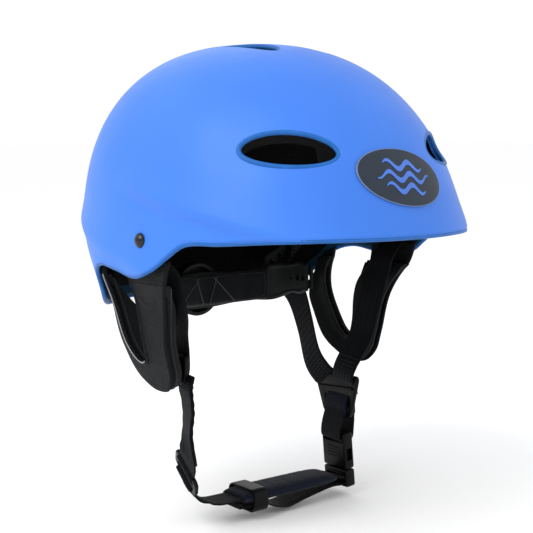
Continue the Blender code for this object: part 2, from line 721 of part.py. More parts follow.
# ---- chin straps -------------------------------------------------------------------------------
FRONT_STRAP = ((-102.8, -21, 1), (-103.4, -21, -5), (-102.6, -21, -10.5), (-98, -21.5, -15.5),
               (-89.5, -21.5, -24.5),
               (-86, -20.5, -36), (-82.5, -19.5, -51))
FRONT_ACROSS = ((-0.07, 1, 0), (-0.06, 1, 0), (-0.05, 1, 0), (0, 1, 0), (0, 1, 0), (0.05, 1, 0),
                (0.1, 1, 0.05))
FRONT_END_RIGHT = ((-71.5, -8, -65), (-66.6, 0.5, -76), (-66.0, 3, -86))
FRONT_END_LEFT = ((-74.5, -15, -80), (-64.4, -10.5, -101), (-63, -8.5, -113.5))
FRONT_END_ACROSS = ((0.15, 1, 0.1), (0.05, 1, 0.12), (0.0, 1, 0.15))
REAR_STRAP = ((-67.8, 96.5, -14), (-66.2, 94.9, -24), (-64.2, 87.5, -36), (-68, 75, -46), (-71.5, 61, -54),
              (-71.3, 51, -61))
REAR_ACROSS = ((0.7, 0.71, 0), (0.7, 0.71, 0), (0.62, 0.78, -0.05), (0.35, 0.9, -0.25), (0.12, 0.87, -0.47),
               (0.05, 0.82, -0.57))
REAR_END_RIGHT = ((-67.5, 41, -77.5), (-66.4, 22.5, -85))
REAR_END_LEFT = ((-71, 42, -79), (-64.4, 26, -100), (-62.8, 14.5, -112))
REAR_END_ACROSS = ((0, 0.7, -0.7), (0, 0.7, -0.7), (0, 0.7, -0.7))
ring_frame = frame_matrix(Vector((-62.5, 0.5, -157.5)) * MM, (0, -0.75, -0.66), (0.93, -0.25, 0.28))


def by_ring(aside, down):
    """A place in the adjuster ring's own plane, in millimetres."""
    return tuple(ring_frame @ (Vector((aside, down, 0.0)) * MM) / MM)


CHIN_WEB_RIGHT = ((-70, 1.5, -99.4), (-70, -4, -113), (-69.5, -6, -128), by_ring(0, -20), by_ring(0, -9.6))
CHIN_WEB_ACROSS = ((0.1, 1, 0.08), (0.15, 1, 0.1), (0.2, 1, 0.15), (0.05, 0.85, 0.45), (0, 0.75, 0.66))

def add_strap(name, points, across, steps, mirror_over=False, hole=None):
    if mirror_over:
        points = mirrored(points)
        across = mirrored(across)
    strap = add_ribbon(name, points, across, steps=steps)
    if hole:
        cut(strap, rivet_tools[hole])
    return strap


add_strap("front_strap_right", FRONT_STRAP + FRONT_END_RIGHT, FRONT_ACROSS + FRONT_END_ACROSS, 22, False,
          "side_rivet_right")
add_strap("front_strap_left", FRONT_STRAP + FRONT_END_LEFT, FRONT_ACROSS + FRONT_END_ACROSS, 24, True,
          "side_rivet_left")
add_strap("rear_strap_right", REAR_STRAP + REAR_END_RIGHT, REAR_ACROSS + REAR_END_ACROSS[1:], 16, False,
          "rear_rivet_right")
add_strap("rear_strap_left", REAR_STRAP + REAR_END_LEFT, REAR_ACROSS + REAR_END_ACROSS, 18, True,
          "rear_rivet_left")
add_strap("chin_web_right", CHIN_WEB_RIGHT, CHIN_WEB_ACROSS, 14)

# ---- strap dividers, buckle loop and side-release buckle -----------------------------------------
def add_divider(side, x, outer, arch):
    place = frame_matrix((x * MM, 0.0, 0.0), (0, 1, 0), (1, 0, 0))
    loops = [rounded_loop(outer, 5.0), rounded_loop(arch, 3.5)]
    add_part("divider_" + side, outline_mesh("divider_" + side, loops, 3.0 * MM, place))


add_divider("left", 66.5, ((-22, -108), (24, -112), (13, -139.5), (-14, -139.5)),
            ((-12.5, -123), (12.5, -124), (11.5, -135), (-12.5, -135)))
add_divider("right", -70.0, ((-10, -78), (25, -80), (18, -98), (-8, -98)),
            ((-4.5, -86), (17, -86.5), (14.5, -94), (-4, -94)))

LOOP_PATH = ((63.8, -2, -154), (60.4, -2, -154), (58.2, -2, -152), (58.2, -2, -146), (60.4, -2, -138),
             (62.8, -2, -133),
             (66.5, -2, -130.6), (70.2, -2, -133), (71.4, -2, -140), (70.8, -2, -148), (70.4, -2, -152),
             (68.8, -2, -154.2), (65.4, -2, -154.2))
add_ribbon("buckle_web", LOOP_PATH, ((0, 1, 0),) * len(LOOP_PATH), WEB_WIDTH - 1 * MM, 36, 1.4 * MM)

buckle_frame = Matrix.Translation(BUCKLE_CENTRE) @ Matrix.Rotation(-BUCKLE_LEAN, 4, "Y")


def in_buckle(x, y, z):
    return buckle_frame @ Matrix.Translation(Vector((x, y, z)) * MM)


FEMALE_TOP = 13.0
female = add_part("buckle_female", box_mesh("buckle_female", (BUCKLE_THICK, BUCKLE_WIDTH, FEMALE_LENGTH),
                                            in_buckle(0, 0, 0), 1.2 * MM))
for name, size, spot in (
    ("female_cavity", (5.6, 19.6, 19.0), (0, 0, -5.5)),
    ("female_windows", (4.6, 40.0, 8.5), (0, 0, -2.5)),
    ("female_web_slot", (20.0, 20.6, 4.6), (0, 0, 8.0)),
):
    tool = add_tool(name, box_mesh(name, Vector(size) * MM, in_buckle(*spot)))
    cut(female, tool)

chin_axis = joint_axis("chin_strap_axis", (CHIN_HINGE_X, 0.0, CHIN_Z))
male = add_part("buckle_male", box_mesh("buckle_male", (BUCKLE_THICK, BUCKLE_WIDTH, 12.5 * MM),
                                        in_buckle(0, 0, -19.8), 1.2 * MM), chin_axis)
male_slot = add_tool("male_web_slot", box_mesh("male_web_slot", Vector((20, 20.8, 5.0)) * MM,
                     in_buckle(0, 0, -20.4)))
guide = add_tool("male_guide", box_mesh("male_guide", Vector((3.4, 5.0, 18.0)) * MM, in_buckle(0, 0, -6.5)))
cut(male, male_slot)
join(male, guide)
PRONG_LOOP = ((4.6, -13.0), (7.4, -13.0), (7.6, -6.8), (9.3, -6.0), (9.3, -3.0), (7.6, 2.2),
              (5.4, 2.6), (5.0, -6.0))
for side, sign in (("front", -1), ("rear", 1)):
    pivot = joint_axis("prong_" + side + "_axis", in_buckle(0, 6.0 * sign, -13.0).translation)
    pivot.parent = chin_axis
    pivot.matrix_parent_inverse = chin_axis.matrix_world.inverted()
    loop = [(y * sign, z) for y, z in PRONG_LOOP]
    flat = buckle_frame @ frame_matrix((0, 0, 0), (0, 1, 0), (1, 0, 0))
    add_part("prong_" + side, outline_mesh("prong_" + side, [loop], 3.8 * MM, flat), pivot)

# ---- chin strap with its pad, keeper and loose tail, and the right-hand adjuster ------------------
CHIN_STRAP = ((-51.6, -4.5, -177.3), (-42, -5, -178.6), (-10, -5, -178.6), (25, -5, -178.6),
              (52, -4.5, -178.7),
              (60, -3, -180.6), (65.8, -2, -182.2))
add_ribbon("chin_strap", CHIN_STRAP, ((0, 1, 0),) * 7, WEB_WIDTH - 0.5 * MM, 22, 1.4 * MM, chin_axis)
TAIL_PATH = ((60.5, -2.5, -185.6), (48, -4, -184.4), (26, -5, -185), (10, -5, -187.3), (-1, -5, -186.6),
             (-11, -5, -184.4), (-23, -5, -184.2), (-31, -5, -184.2))
add_ribbon("strap_tail", TAIL_PATH, ((0, 1, 0),) * 8, WEB_WIDTH - 0.5 * MM, 24, 1.2 * MM, chin_axis)

pad_place = Matrix.Translation(Vector((11, -5, -178.6)) * MM)
chin_pad = add_part("chin_pad", box_mesh("chin_pad", Vector((80, 25, 8.0)) * MM, pad_place, 2.2 * MM),
                    chin_axis)
cut(chin_pad, add_tool("pad_tunnel", box_mesh("pad_tunnel", Vector((120, 21, 2.8)) * MM, pad_place)))
keeper_place = Matrix.Translation(Vector((-17, -5, -179.6)) * MM)
keeper = add_part("keeper", box_mesh("keeper", Vector((13, 29, 14.4)) * MM, keeper_place, 1.0 * MM),
                  chin_axis)
cut(keeper, add_tool("keeper_way", box_mesh("keeper_way", Vector((40, 26.2, 11.6)) * MM, keeper_place)))

ring_outer = rounded_loop(((-15, -7.5), (15, -7.5), (15, 7.5), (-15, 7.5)), 4.0)
ring_slots = []
for low, high in ((-5.2, -1.4), (1.4, 5.2)):
    ring_slots.append(rounded_loop(((-11, low), (11, low), (11, high), (-11, high)), 1.2, 2))
add_part("adjuster_ring", outline_mesh("adjuster_ring", [ring_outer] + ring_slots, 2.6 * MM, ring_frame))
RING_WEB = (by_ring(0, 9.6), (-58.0, 0, -172.0), (-53.5, -3.6, -176.4))
add_ribbon("ring_web", RING_WEB, ((0, 0.75, 0.66), (0, 0.9, 0.35), (0, 1, 0.0)),
           WEB_WIDTH - 1 * MM, 8, 1.4 * MM)
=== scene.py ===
"""Looks for the water helmet: finer surfaces, soft goods, webbing and hardware on the CAD frame."""

import math

import bmesh
import bpy
from mathutils import Matrix, Vector


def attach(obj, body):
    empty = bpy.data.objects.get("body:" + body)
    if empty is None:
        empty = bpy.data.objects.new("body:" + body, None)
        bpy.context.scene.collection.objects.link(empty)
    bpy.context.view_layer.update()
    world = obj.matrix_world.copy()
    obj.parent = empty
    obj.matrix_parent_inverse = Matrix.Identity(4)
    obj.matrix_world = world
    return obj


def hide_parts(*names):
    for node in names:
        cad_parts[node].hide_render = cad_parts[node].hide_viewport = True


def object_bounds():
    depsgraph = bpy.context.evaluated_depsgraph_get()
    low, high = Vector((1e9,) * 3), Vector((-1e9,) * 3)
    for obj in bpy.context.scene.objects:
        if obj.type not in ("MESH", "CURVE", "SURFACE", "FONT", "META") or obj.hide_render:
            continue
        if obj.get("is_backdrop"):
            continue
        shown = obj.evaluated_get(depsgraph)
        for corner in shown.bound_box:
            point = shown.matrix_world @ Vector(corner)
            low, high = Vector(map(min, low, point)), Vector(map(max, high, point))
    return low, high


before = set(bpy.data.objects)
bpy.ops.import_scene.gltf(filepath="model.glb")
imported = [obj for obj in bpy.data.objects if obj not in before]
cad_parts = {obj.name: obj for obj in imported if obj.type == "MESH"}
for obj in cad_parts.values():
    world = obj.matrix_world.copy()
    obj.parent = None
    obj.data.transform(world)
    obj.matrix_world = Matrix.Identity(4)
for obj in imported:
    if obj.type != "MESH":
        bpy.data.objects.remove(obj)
cad_low, cad_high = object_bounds()

MM = 0.001

# ---- the dome's driving dimensions, as in the CAD (metres)
HALF_WIDTH = 109.2 * MM
FRONT_REACH = 127.6 * MM
REAR_REACH = 122.4 * MM
DOME_CENTRE_Y = 11.0 * MM
EQUATOR_Z = -3.9 * MM
DOME_HEIGHT = 121.5 * MM
HEIGHT_EXPONENT = 2.39
PLAN_EXPONENT = 2.35
VISOR_FLARE = 25.0 * MM
FLARE_TOP_Z = 128.0 * MM
FLARE_SPAN = 140.0 * MM
SHELL_THICK = 3.0 * MM
LINER_INSET = 4.4 * MM
LINER_THICK = 10.0 * MM
LINER_EDGE_Z = 27.0 * MM
PAD_INSET = 16.2 * MM
PAD_THICK = 6.0 * MM
RIM = ((0, 0), (30, -0.3), (50, -3), (60, -4.5), (66, -13), (72, -21.5), (80, -26.5), (90, -23.5),
       (99, -22), (107, -27.5), (113, -40), (120, -50), (132, -56), (156, -57), (180, -57))

GUARD_THICK = 2.6 * MM
GUARD_FACE_X = 103.0 * MM
GUARD_TILT = 0.26
GUARD_BEND_Z = -30.0 * MM
EAR_PAD_THICK = 9.0 * MM
CRADLE_Z = -52.0 * MM
CRADLE_REAR_Y = 72.0 * MM
WEB = 20.0 * MM


# ---- materials
class Nodes:
    """Builds a Principled material's node tree."""

    def __init__(self, name, roughness, metallic=0.0, specular=0.5, sheen=0.0, coat=0.0):
        self.mat = bpy.data.materials.new(name)
        self.mat.use_nodes = True
        self.tree = self.mat.node_tree
        self.shader = self.tree.nodes["Principled BSDF"]
        self.shader.inputs["Roughness"].default_value = roughness
        self.shader.inputs["Metallic"].default_value = metallic
        self.shader.inputs["Specular IOR Level"].default_value = specular
        self.shader.inputs["Sheen Weight"].default_value = sheen
        self.shader.inputs["Sheen Roughness"].default_value = 0.5
        self.shader.inputs["Coat Weight"].default_value = coat
        self.shader.inputs["Coat Roughness"].default_value = 0.25
        self.coords = self.tree.nodes.new("ShaderNodeTexCoord")

    def add(self, kind, **settings):
        node = self.tree.nodes.new(kind)
        for key, value in settings.items():
            setattr(node, key, value)
        return node

    def link(self, source, target):
        self.tree.links.new(source, target)

    def noise(self, scale, detail=3.0, roughness=0.55):
        node = self.add("ShaderNodeTexNoise")
        node.inputs["Scale"].default_value = scale
        node.inputs["Detail"].default_value = detail
        node.inputs["Roughness"].default_value = roughness
        self.link(self.coords.outputs["Object"], node.inputs["Vector"])
        return node.outputs["Fac"]

    def cells(self, scale):
        node = self.add("ShaderNodeTexVoronoi", feature="F1")
        node.inputs["Scale"].default_value = scale
        self.link(self.coords.outputs["Object"], node.inputs["Vector"])
        return node.outputs["Distance"]

    def math(self, operation, first, second=None):
        node = self.add("ShaderNodeMath", operation=operation)
        for socket, value in zip(node.inputs, (first, second)):
            if value is None:
                continue
            if isinstance(value, (int, float)):
                socket.default_value = value
            else:
                self.link(value, socket)
        return node.outputs[0]

    def ramp(self, factor, stops):
        node = self.add("ShaderNodeValToRGB")
        ramp = node.color_ramp
        while len(ramp.elements) < len(stops):
            ramp.elements.new(0.5)
        for element, (place, colour) in zip(ramp.elements, stops):
            element.position = place
            element.color = (*colour, 1.0)
        self.link(factor, node.inputs["Fac"])
        return node.outputs["Color"]

    def colour(self, output):
        self.link(output, self.shader.inputs["Base Color"])

    def roughness(self, factor, low, high):
        node = self.add("ShaderNodeMapRange")
        node.inputs["To Min"].default_value = low
        node.inputs["To Max"].default_value = high
        self.link(factor, node.inputs["Value"])
        self.link(node.outputs["Result"], self.shader.inputs["Roughness"])

    def bump(self, height, strength, distance, below=None):
        node = self.add("ShaderNodeBump")
        node.inputs["Strength"].default_value = strength
        node.inputs["Distance"].default_value = distance
        self.link(height, node.inputs["Height"])
        if below:
            self.link(below, node.inputs["Normal"])
        self.link(node.outputs["Normal"], self.shader.inputs["Normal"])
        return node.outputs["Normal"]


def shade(colour, factor):
    return tuple(min(1.0, part * factor) for part in colour)


def shell_material():
    """Satin blue shell: fine orange peel, faint cloudy tone, painted shade as a more saturated teal low
    down, and light scuffs.
    """
    n = Nodes("shell_blue", 0.46, specular=0.22, coat=0.02)
    broad = n.noise(9.0, 2.0)
    tone = n.ramp(broad, ((0.3, (0.040, 0.165, 0.63)), (0.7, (0.050, 0.190, 0.70))))
    place = n.add("ShaderNodeSeparateXYZ")
    n.link(n.coords.outputs["Object"], place.inputs[0])
    # Painted shade: towards the bottom the blue is mixed with a more saturated teal, standing in for the
    # shade that falls low on the shell.
    low = n.add("ShaderNodeMapRange")
    low.inputs["From Min"].default_value = -0.060
    low.inputs["From Max"].default_value = 0.012
    low.inputs["To Min"].default_value = 0.55
    low.inputs["To Max"].default_value = 0.0
    n.link(place.outputs["Z"], low.inputs["Value"])
    painted_shade_mix = n.add("ShaderNodeMix", data_type="RGBA")
    n.link(low.outputs["Result"], painted_shade_mix.inputs["Factor"])
    n.link(tone, painted_shade_mix.inputs["A"])
    painted_shade_mix.inputs["B"].default_value = (0.028, 0.195, 0.66, 1.0)
    n.colour(painted_shade_mix.outputs["Result"])
    n.roughness(n.noise(60.0, 4.0), 0.38, 0.52)
    peel = n.bump(n.noise(900.0, 2.0), 0.10, 0.0004)
    n.bump(n.noise(140.0, 5.0, 0.7), 0.05, 0.0006, peel)
    return n.mat


def moulded(name, colour, roughness=0.5, grain=1400.0, strength=0.25, specular=0.4):
    """Moulded plastic with a fine spark-eroded grain, slight tone drift and lighter worn spots."""
    n = Nodes(name, roughness, specular=specular)
    wear = n.noise(90.0, 5.0, 0.65)
    n.colour(n.ramp(wear, ((0.35, shade(colour, 0.85)), (0.62, colour), (0.80, shade(colour, 1.5)))))
    n.roughness(n.noise(240.0, 3.0), roughness - 0.07, roughness + 0.10)
    n.bump(n.noise(grain, 3.0, 0.6), strength, 0.0004)
    return n.mat


def leather_grain(name, colour):
    """The ear guard's coarse pebbled grain, with bright speckles on the pebbles as painted highlights."""
    n = Nodes(name, 0.5, specular=0.10)
    pebbles = n.cells(950.0)
    fine = n.noise(1500.0, 3.0)
    both = n.math("ADD", pebbles, n.math("MULTIPLY", fine, 0.5))
    # Painted highlight: the brightest stop paints glints on the pebbles; the grain is darker between the
    # pebbles.
    pebbles_and_glints = n.ramp(both, ((0.35, shade(colour, 4.5)), (0.50, shade(colour, 1.4)), (0.85, shade(colour, 0.5))))
    n.colour(pebbles_and_glints)
    n.roughness(n.noise(70.0, 4.0), 0.42, 0.62)
    n.bump(both, 0.8, 0.0009)
    return n.mat


def foam(name, colour, scale=700.0, strength=0.35):
    """Closed-cell foam: small open-looking cells and a dusty surface."""
    n = Nodes(name, 0.93, specular=0.08, sheen=0.03)
    pores = n.cells(scale)
    n.colour(n.ramp(n.noise(45.0, 4.0), ((0.3, shade(colour, 0.7)), (0.7, shade(colour, 1.35)))))
    n.bump(n.math("ADD", pores, n.noise(scale * 2, 2.0)), strength, 0.0006)
    return n.mat


def brushed_cloth(name, colour, sheen=0.1):
    """Brushed laminate cloth over foam: knit loops, soft nap and slight creases."""
    n = Nodes(name, 0.8, specular=0.09, sheen=sheen)
    nap = n.noise(2200.0, 3.0, 0.7)
    n.colour(n.ramp(nap, ((0.3, shade(colour, 0.65)), (0.7, shade(colour, 1.6)))))
    creases = n.bump(n.noise(55.0, 3.0), 0.25, 0.0012)
    n.bump(n.math("ADD", n.cells(1500.0), nap), 0.4, 0.0004, creases)
    return n.mat


def webbing(name, colour, sheen=0.2):
    """Woven polyester webbing: slanted yarns in a herringbone, cross ribs and firm bound edges."""
    n = Nodes(name, 0.62, specular=0.07, sheen=sheen)
    cloth = n.add("ShaderNodeSeparateXYZ")
    n.link(n.coords.outputs["UV"], cloth.inputs[0])
    across = cloth.outputs["X"]
    along = cloth.outputs["Y"]
    stripe = n.math("PINGPONG", n.math("MULTIPLY", across, 1000.0), 2.5)
    slant = n.math("ADD", stripe, n.math("MULTIPLY", along, 1000.0))
    yarns = n.math("SINE", n.math("MULTIPLY", slant, 5.2))
    ribs = n.math("SINE", n.math("MULTIPLY", stripe, 2.6))
    weave = n.math("ADD", n.math("MULTIPLY", yarns, 0.5), n.math("MULTIPLY", ribs, 0.3))
    fuzz = n.math("ADD", weave, n.noise(2600.0, 2.0))
    n.colour(n.ramp(fuzz, ((0.0, shade(colour, 0.55)), (0.9, shade(colour, 1.8)))))
    n.bump(fuzz, 0.6, 0.0005)
    return n.mat


def metal(name, colour):
    n = Nodes(name, 0.32, metallic=1.0)
    n.colour(n.ramp(n.noise(300.0, 4.0), ((0.3, shade(colour, 0.85)), (0.7, colour))))
    n.bump(n.noise(1500.0, 2.0), 0.15, 0.0002)
    return n.mat


BLUE = shell_material()
# Painted shade: the rolled rim and the vent lips are the shell's own blue plastic, made a darker teal for
# the shade they sit in.
RIM_SHADE_TEAL = moulded("rim_shade_teal", (0.012, 0.115, 0.40), 0.45, 900.0, 0.1, 0.2)
# Painted shade: the shell's inner face is the same blue plastic, made dark teal for the shade inside the
# helmet.
INNER_SHADE_TEAL = moulded("shell_inside_shade", (0.003, 0.050, 0.105), 0.55, 900.0, 0.1, 0.2)
LINER_FOAM = foam("liner_foam", (0.0035, 0.0038, 0.0045), 420.0, 0.5)
PAD_CLOTH = brushed_cloth("pad_cloth", (0.0055, 0.006, 0.007), 0.12)
EAR_FOAM = brushed_cloth("ear_pad_cloth", (0.0065, 0.007, 0.0075), 0.05)
GUARD_GRAIN = leather_grain("guard_grain", (0.0042, 0.0050, 0.0062))
# Painted highlight: a light grey for the bead that stands in for the glint along the black ear guard's rib.
HIGHLIGHT_GREY = moulded("painted_highlight_grey", (0.22, 0.23, 0.25), 0.25, 1200.0, 0.05, 0.6)
BADGE_NAVY = moulded("badge_navy", (0.014, 0.024, 0.040), 0.42, 1600.0, 0.12, 0.3)
BADGE_EDGE = moulded("badge_edge", (0.13, 0.19, 0.32), 0.38, 1600.0, 0.08)
BADGE_MARK = moulded("badge_mark", (0.055, 0.165, 0.60), 0.45, 1600.0, 0.08)
RIVET_BLACK = moulded("rivet_black", (0.003, 0.003, 0.0035), 0.16, 1200.0, 0.03, 0.4)
WEBBING = webbing("black_webbing", (0.0012, 0.0016, 0.0028), 0.02)
NAVY_WEB = webbing("navy_webbing", (0.0016, 0.0024, 0.0075), 0.03)
NAVY_CLOTH = brushed_cloth("chin_sleeve_cloth", (0.0030, 0.0048, 0.0120), 0.06)
ACETAL = moulded("black_acetal", (0.0018, 0.0020, 0.0025), 0.32, 1300.0, 0.12, 0.11)
NYLON = moulded("cradle_nylon", (0.0065, 0.0080, 0.0083), 0.45, 1000.0, 0.15, 0.2)
DIAL_GRIP = moulded("dial_grip", (0.008, 0.0085, 0.0095), 0.65, 1500.0, 0.5, 0.2)
STEEL = metal("washer_steel", (0.56, 0.56, 0.58))
WELT = moulded("welt_grey", (0.030, 0.034, 0.036), 0.5, 1400.0, 0.1, 0.3)
THREAD = brushed_cloth("thread", (0.012, 0.014, 0.019), 0.15)


# ---- mesh helpers
def smooth(value):
    value = min(1.0, max(0.0, value))
    return value * value * (3.0 - 2.0 * value)


def through_knots(knots, at):
    """A smooth curve through (place, value) knots, with slopes from the neighbouring knots."""
    count = len(knots)
    index = 0
    while index < count - 2 and at > knots[index + 1][0]:
        index += 1
    x0, y0 = knots[index]
    x1, y1 = knots[index + 1]
    span = x1 - x0
    step = (y1 - y0) / span
    before = knots[max(index - 1, 0)]
    after = knots[min(index + 2, count - 1)]
    slope0 = (y1 - before[1]) / (x1 - before[0]) if index else step
    slope1 = (after[1] - y0) / (after[0] - x0) if index < count - 2 else step
    u = min(1.0, max(0.0, (at - x0) / span))
    bulge0 = (slope0 - step) * span * u * (1 - u) ** 2
    bulge1 = (step - slope1) * span * u * u * (1 - u)
    return y0 + (y1 - y0) * u + bulge0 + bulge1


def path_point(points, along):
    """A point at 0..1 along a smooth curve through points."""
    place = along * (len(points) - 1)
    axes = [tuple(enumerate(values)) for values in zip(*points)]
    return Vector([through_knots(axis, place) for axis in axes])


def frame_matrix(origin, x_axis, z_axis):
    """A placement whose local Z is z_axis and whose local X leans on x_axis."""
    z_dir = Vector(z_axis).normalized()
    x_dir = (Vector(x_axis) - z_dir * Vector(x_axis).dot(z_dir)).normalized()
    y_dir = z_dir.cross(x_dir)
    rows = Matrix((x_dir, y_dir, z_dir)).transposed().to_4x4()
    rows.translation = Vector(origin)
    return rows


def on_side(points, sign):
    """The points as given, or mirrored to the other side where sign is -1."""
    return [(x * sign, y, z) for x, y, z in points]


def bent(value, power):
    """A signed power, for superellipse outlines."""
    return math.copysign(abs(value) ** power, value)


def linked(name, data):
    obj = bpy.data.objects.new(name, data)
    bpy.context.scene.collection.objects.link(obj)
    return obj


def place_piece(name, mesh, mat, slot, body="helmet", replaces=(), angle=35):
    obj = linked(name, mesh)
    mesh.materials.append(mat)
    mesh.shade_smooth()
    mesh.set_sharp_from_angle(angle=math.radians(angle))
    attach(obj, body)
    if replaces:
        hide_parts(*replaces)
    return obj


def mesh_from(bm, name):
    bmesh.ops.recalc_face_normals(bm, faces=bm.faces)
    if bm.calc_volume(signed=True) < 0:
        bmesh.ops.reverse_faces(bm, faces=bm.faces)
    mesh = bpy.data.meshes.new(name)
    bm.to_mesh(mesh)
    bm.free()
    return mesh


def grid_between(name, columns, rows, front, back, size=(1.0, 1.0)):
    """A closed sheet between front(u, v) and back(u, v), u and v from -1 to 1, with UVs in metres."""
    bm = bmesh.new()
    bmesh.ops.create_grid(bm, x_segments=columns, y_segments=rows, size=1.0)
    store_u = bm.verts.layers.float.new("u")
    store_v = bm.verts.layers.float.new("v")
    for vert in bm.verts:
        vert[store_u] = vert.co.x
        vert[store_v] = vert.co.y
    first = bm.verts[:]
    grown = bmesh.ops.extrude_face_region(bm, geom=bm.faces[:])["geom"]
    second = [item for item in grown if isinstance(item, bmesh.types.BMVert)]
    for vert in first:
        vert.co = front(vert[store_u], vert[store_v])
    for vert in second:
        vert.co = back(vert[store_u], vert[store_v])
    uv = bm.loops.layers.uv.new("UVMap")
    for face in bm.faces:
        for loop in face.loops:
            loop[uv].uv = (loop.vert[store_u] * size[0] / 2, loop.vert[store_v] * size[1] / 2)
    return mesh_from(bm, name)


def sheet_between(name, columns, rows, spot, front, back, size=(1.0, 1.0)):
    """A closed sheet between two levels of the same surface spot(u, v, level)."""
    def front_face(u, v):
        return spot(u, v, front)

    def back_face(u, v):
        return spot(u, v, back)

    return grid_between(name, columns, rows, front_face, back_face, size)


def add_bevel(obj, width, segments=2, angle=35):
    mod = obj.modifiers.new("soft_edges", "BEVEL")
    mod.width = width
    mod.segments = segments
    mod.limit_method = "ANGLE"
    mod.angle_limit = math.radians(angle)
    mod.harden_normals = True
    return obj


def evaluated_mesh(obj):
    """A new mesh with the object's modifiers, or a curve's own shape, applied."""
    graph = bpy.context.evaluated_depsgraph_get()
    return bpy.data.meshes.new_from_object(obj.evaluated_get(graph))


def add_wall(obj, thickness):
    """Thickens a sheet inwards."""
    wall = obj.modifiers.new("wall", "SOLIDIFY")
    wall.thickness = thickness
    wall.offset = -1.0
    return wall


def box_bmesh(size, matrix, bevel=0.0, segments=2):
    bm = bmesh.new()
    bmesh.ops.create_cube(bm, size=1.0)
    bmesh.ops.scale(bm, vec=Vector(size), verts=bm.verts)
    if bevel:
        bmesh.ops.bevel(bm, geom=bm.edges[:], offset=bevel, segments=segments, affect="EDGES", profile=0.5)
    bm.transform(matrix)
    return bm


def cylinder_bmesh(radius, depth, matrix, segments=32, squash=None):
    bm = bmesh.new()
    bmesh.ops.create_cone(bm, cap_ends=True, segments=segments, radius1=radius, radius2=radius, depth=depth)
    if squash:
        bmesh.ops.scale(bm, vec=Vector(squash), verts=bm.verts)
    bm.transform(matrix)
    return bm


def cut_with(obj, tools):
    """Cuts boxes or cylinders, given as bmeshes, out of obj and keeps only the result."""
    made = []
    for number, bm in enumerate(tools):
        tool = linked("%s_tool_%d" % (obj.name, number), mesh_from(bm, "tool"))
        made.append(tool)
        mod = obj.modifiers.new("cut_%d" % number, "BOOLEAN")
        mod.operation = "DIFFERENCE"
        mod.solver = "EXACT"
        mod.object = tool
    kept = obj.data.materials[:]
    mesh = evaluated_mesh(obj)
    obj.modifiers.clear()
    obj.data = mesh
    while len(obj.data.materials) > len(kept):
        obj.data.materials.pop()
    for place, mat in enumerate(kept):
        obj.data.materials[place] = mat
    for tool in made:
        bpy.data.objects.remove(tool, do_unlink=True)


def turned(name, profile, matrix, mat, slot, body="helmet", replaces=(), steps=48):
    """A turned solid from (radius, height) points in millimetres about local Z."""
    bm = bmesh.new()
    verts = [bm.verts.new((radius * MM, 0.0, height * MM)) for radius, height in profile]
    edges = [bm.edges.new(pair) for pair in zip(verts, verts[1:])]
    bmesh.ops.spin(bm, geom=verts + edges, axis=(0, 0, 1), cent=(0, 0, 0), steps=steps, angle=2 * math.pi)
    bmesh.ops.remove_doubles(bm, verts=bm.verts, dist=0.00002)
    bm.transform(matrix)
    return place_piece(name, mesh_from(bm, name), mat, slot, body, replaces)


def rounded_loop(corners, radius, steps=6):
    """A closed outline through corners (millimetres), each corner rounded by a curve of that size."""
    loop = []
    count = len(corners)
    for index, corner in enumerate(corners):
        here = Vector(corner)
        before = Vector(corners[index - 1])
        after = Vector(corners[(index + 1) % count])
        start = here + (before - here).normalized() * radius
        end = here + (after - here).normalized() * radius
        for step in range(steps + 1):
            u = step / steps
            point = start * (1 - u) ** 2 + here * 2 * u * (1 - u) + end * u * u
            loop.append((point.x, point.y))
    return loop


def mesh_of_curve(name, paths, cyclic, **settings):
    """The mesh that a bevelled curve makes along paths in metres."""
    curve = bpy.data.curves.new(name, "CURVE")
    for key, value in settings.items():
        setattr(curve, key, value)
    for path in paths:
        spline = curve.splines.new("POLY")
        spline.points.add(len(path) - 1)
        for point, place in zip(spline.points, path):
            point.co = (*place, 1.0)
        spline.use_cyclic_u = cyclic
    holder = linked(name + "_path", curve)
    mesh = evaluated_mesh(holder)
    bpy.data.objects.remove(holder, do_unlink=True)
    return mesh


def plate(name, loops, thickness, matrix, mat, slot, body="helmet", replaces=(), rounding=0.5):
    """A flat plate with rounded edges from 2D loops in millimetres, the first outside and the rest holes."""
    paths = [[(x * MM, y * MM, 0.0) for x, y in loop] for loop in loops]
    flat = mesh_of_curve(name, paths, True, dimensions="2D", fill_mode="BOTH", bevel_resolution=2,
                         extrude=thickness / 2 - rounding * MM, bevel_depth=rounding * MM,
                         offset=-rounding * MM)
    bm = bmesh.new()
    bm.from_mesh(flat)
    bmesh.ops.remove_doubles(bm, verts=bm.verts, dist=0.00001)
    bm.transform(matrix)
    return place_piece(name, mesh_from(bm, name), mat, slot, body, replaces)


def tube(name, points, radius, mat, slot, body="helmet", cyclic=False):
    """A round bead along points, given in metres."""
    mesh = mesh_of_curve(name, [points], cyclic, dimensions="3D", bevel_depth=radius, bevel_resolution=3,
                         use_fill_caps=True)
    mesh.materials.clear()
    return place_piece(name, mesh, mat, slot, body)


# ---- the dome's surface, as in the CAD
def dome_point(azimuth, polar, inset=0.0):
    """Azimuth 0 at the brow, +90 at the wearer's right; polar 0 at the crown."""
    rise = bent(math.cos(polar), 2.0 / HEIGHT_EXPONENT)
    z = EQUATOR_Z + (DOME_HEIGHT - inset) * rise
    spread = abs(math.sin(polar)) ** (2.0 / PLAN_EXPONENT)
    forward = math.cos(azimuth)
    reach = (FRONT_REACH if forward > 0 else REAR_REACH) - inset
    flare_grow = max(0.0, (FLARE_TOP_Z - z) / FLARE_SPAN) ** 1.3
    flare = VISOR_FLARE * smooth(forward) * flare_grow
    x = -((HALF_WIDTH - inset) * spread + flare) * math.sin(azimuth)
    y = DOME_CENTRE_Y - (reach * spread + flare) * forward
    return Vector((x, y, z))


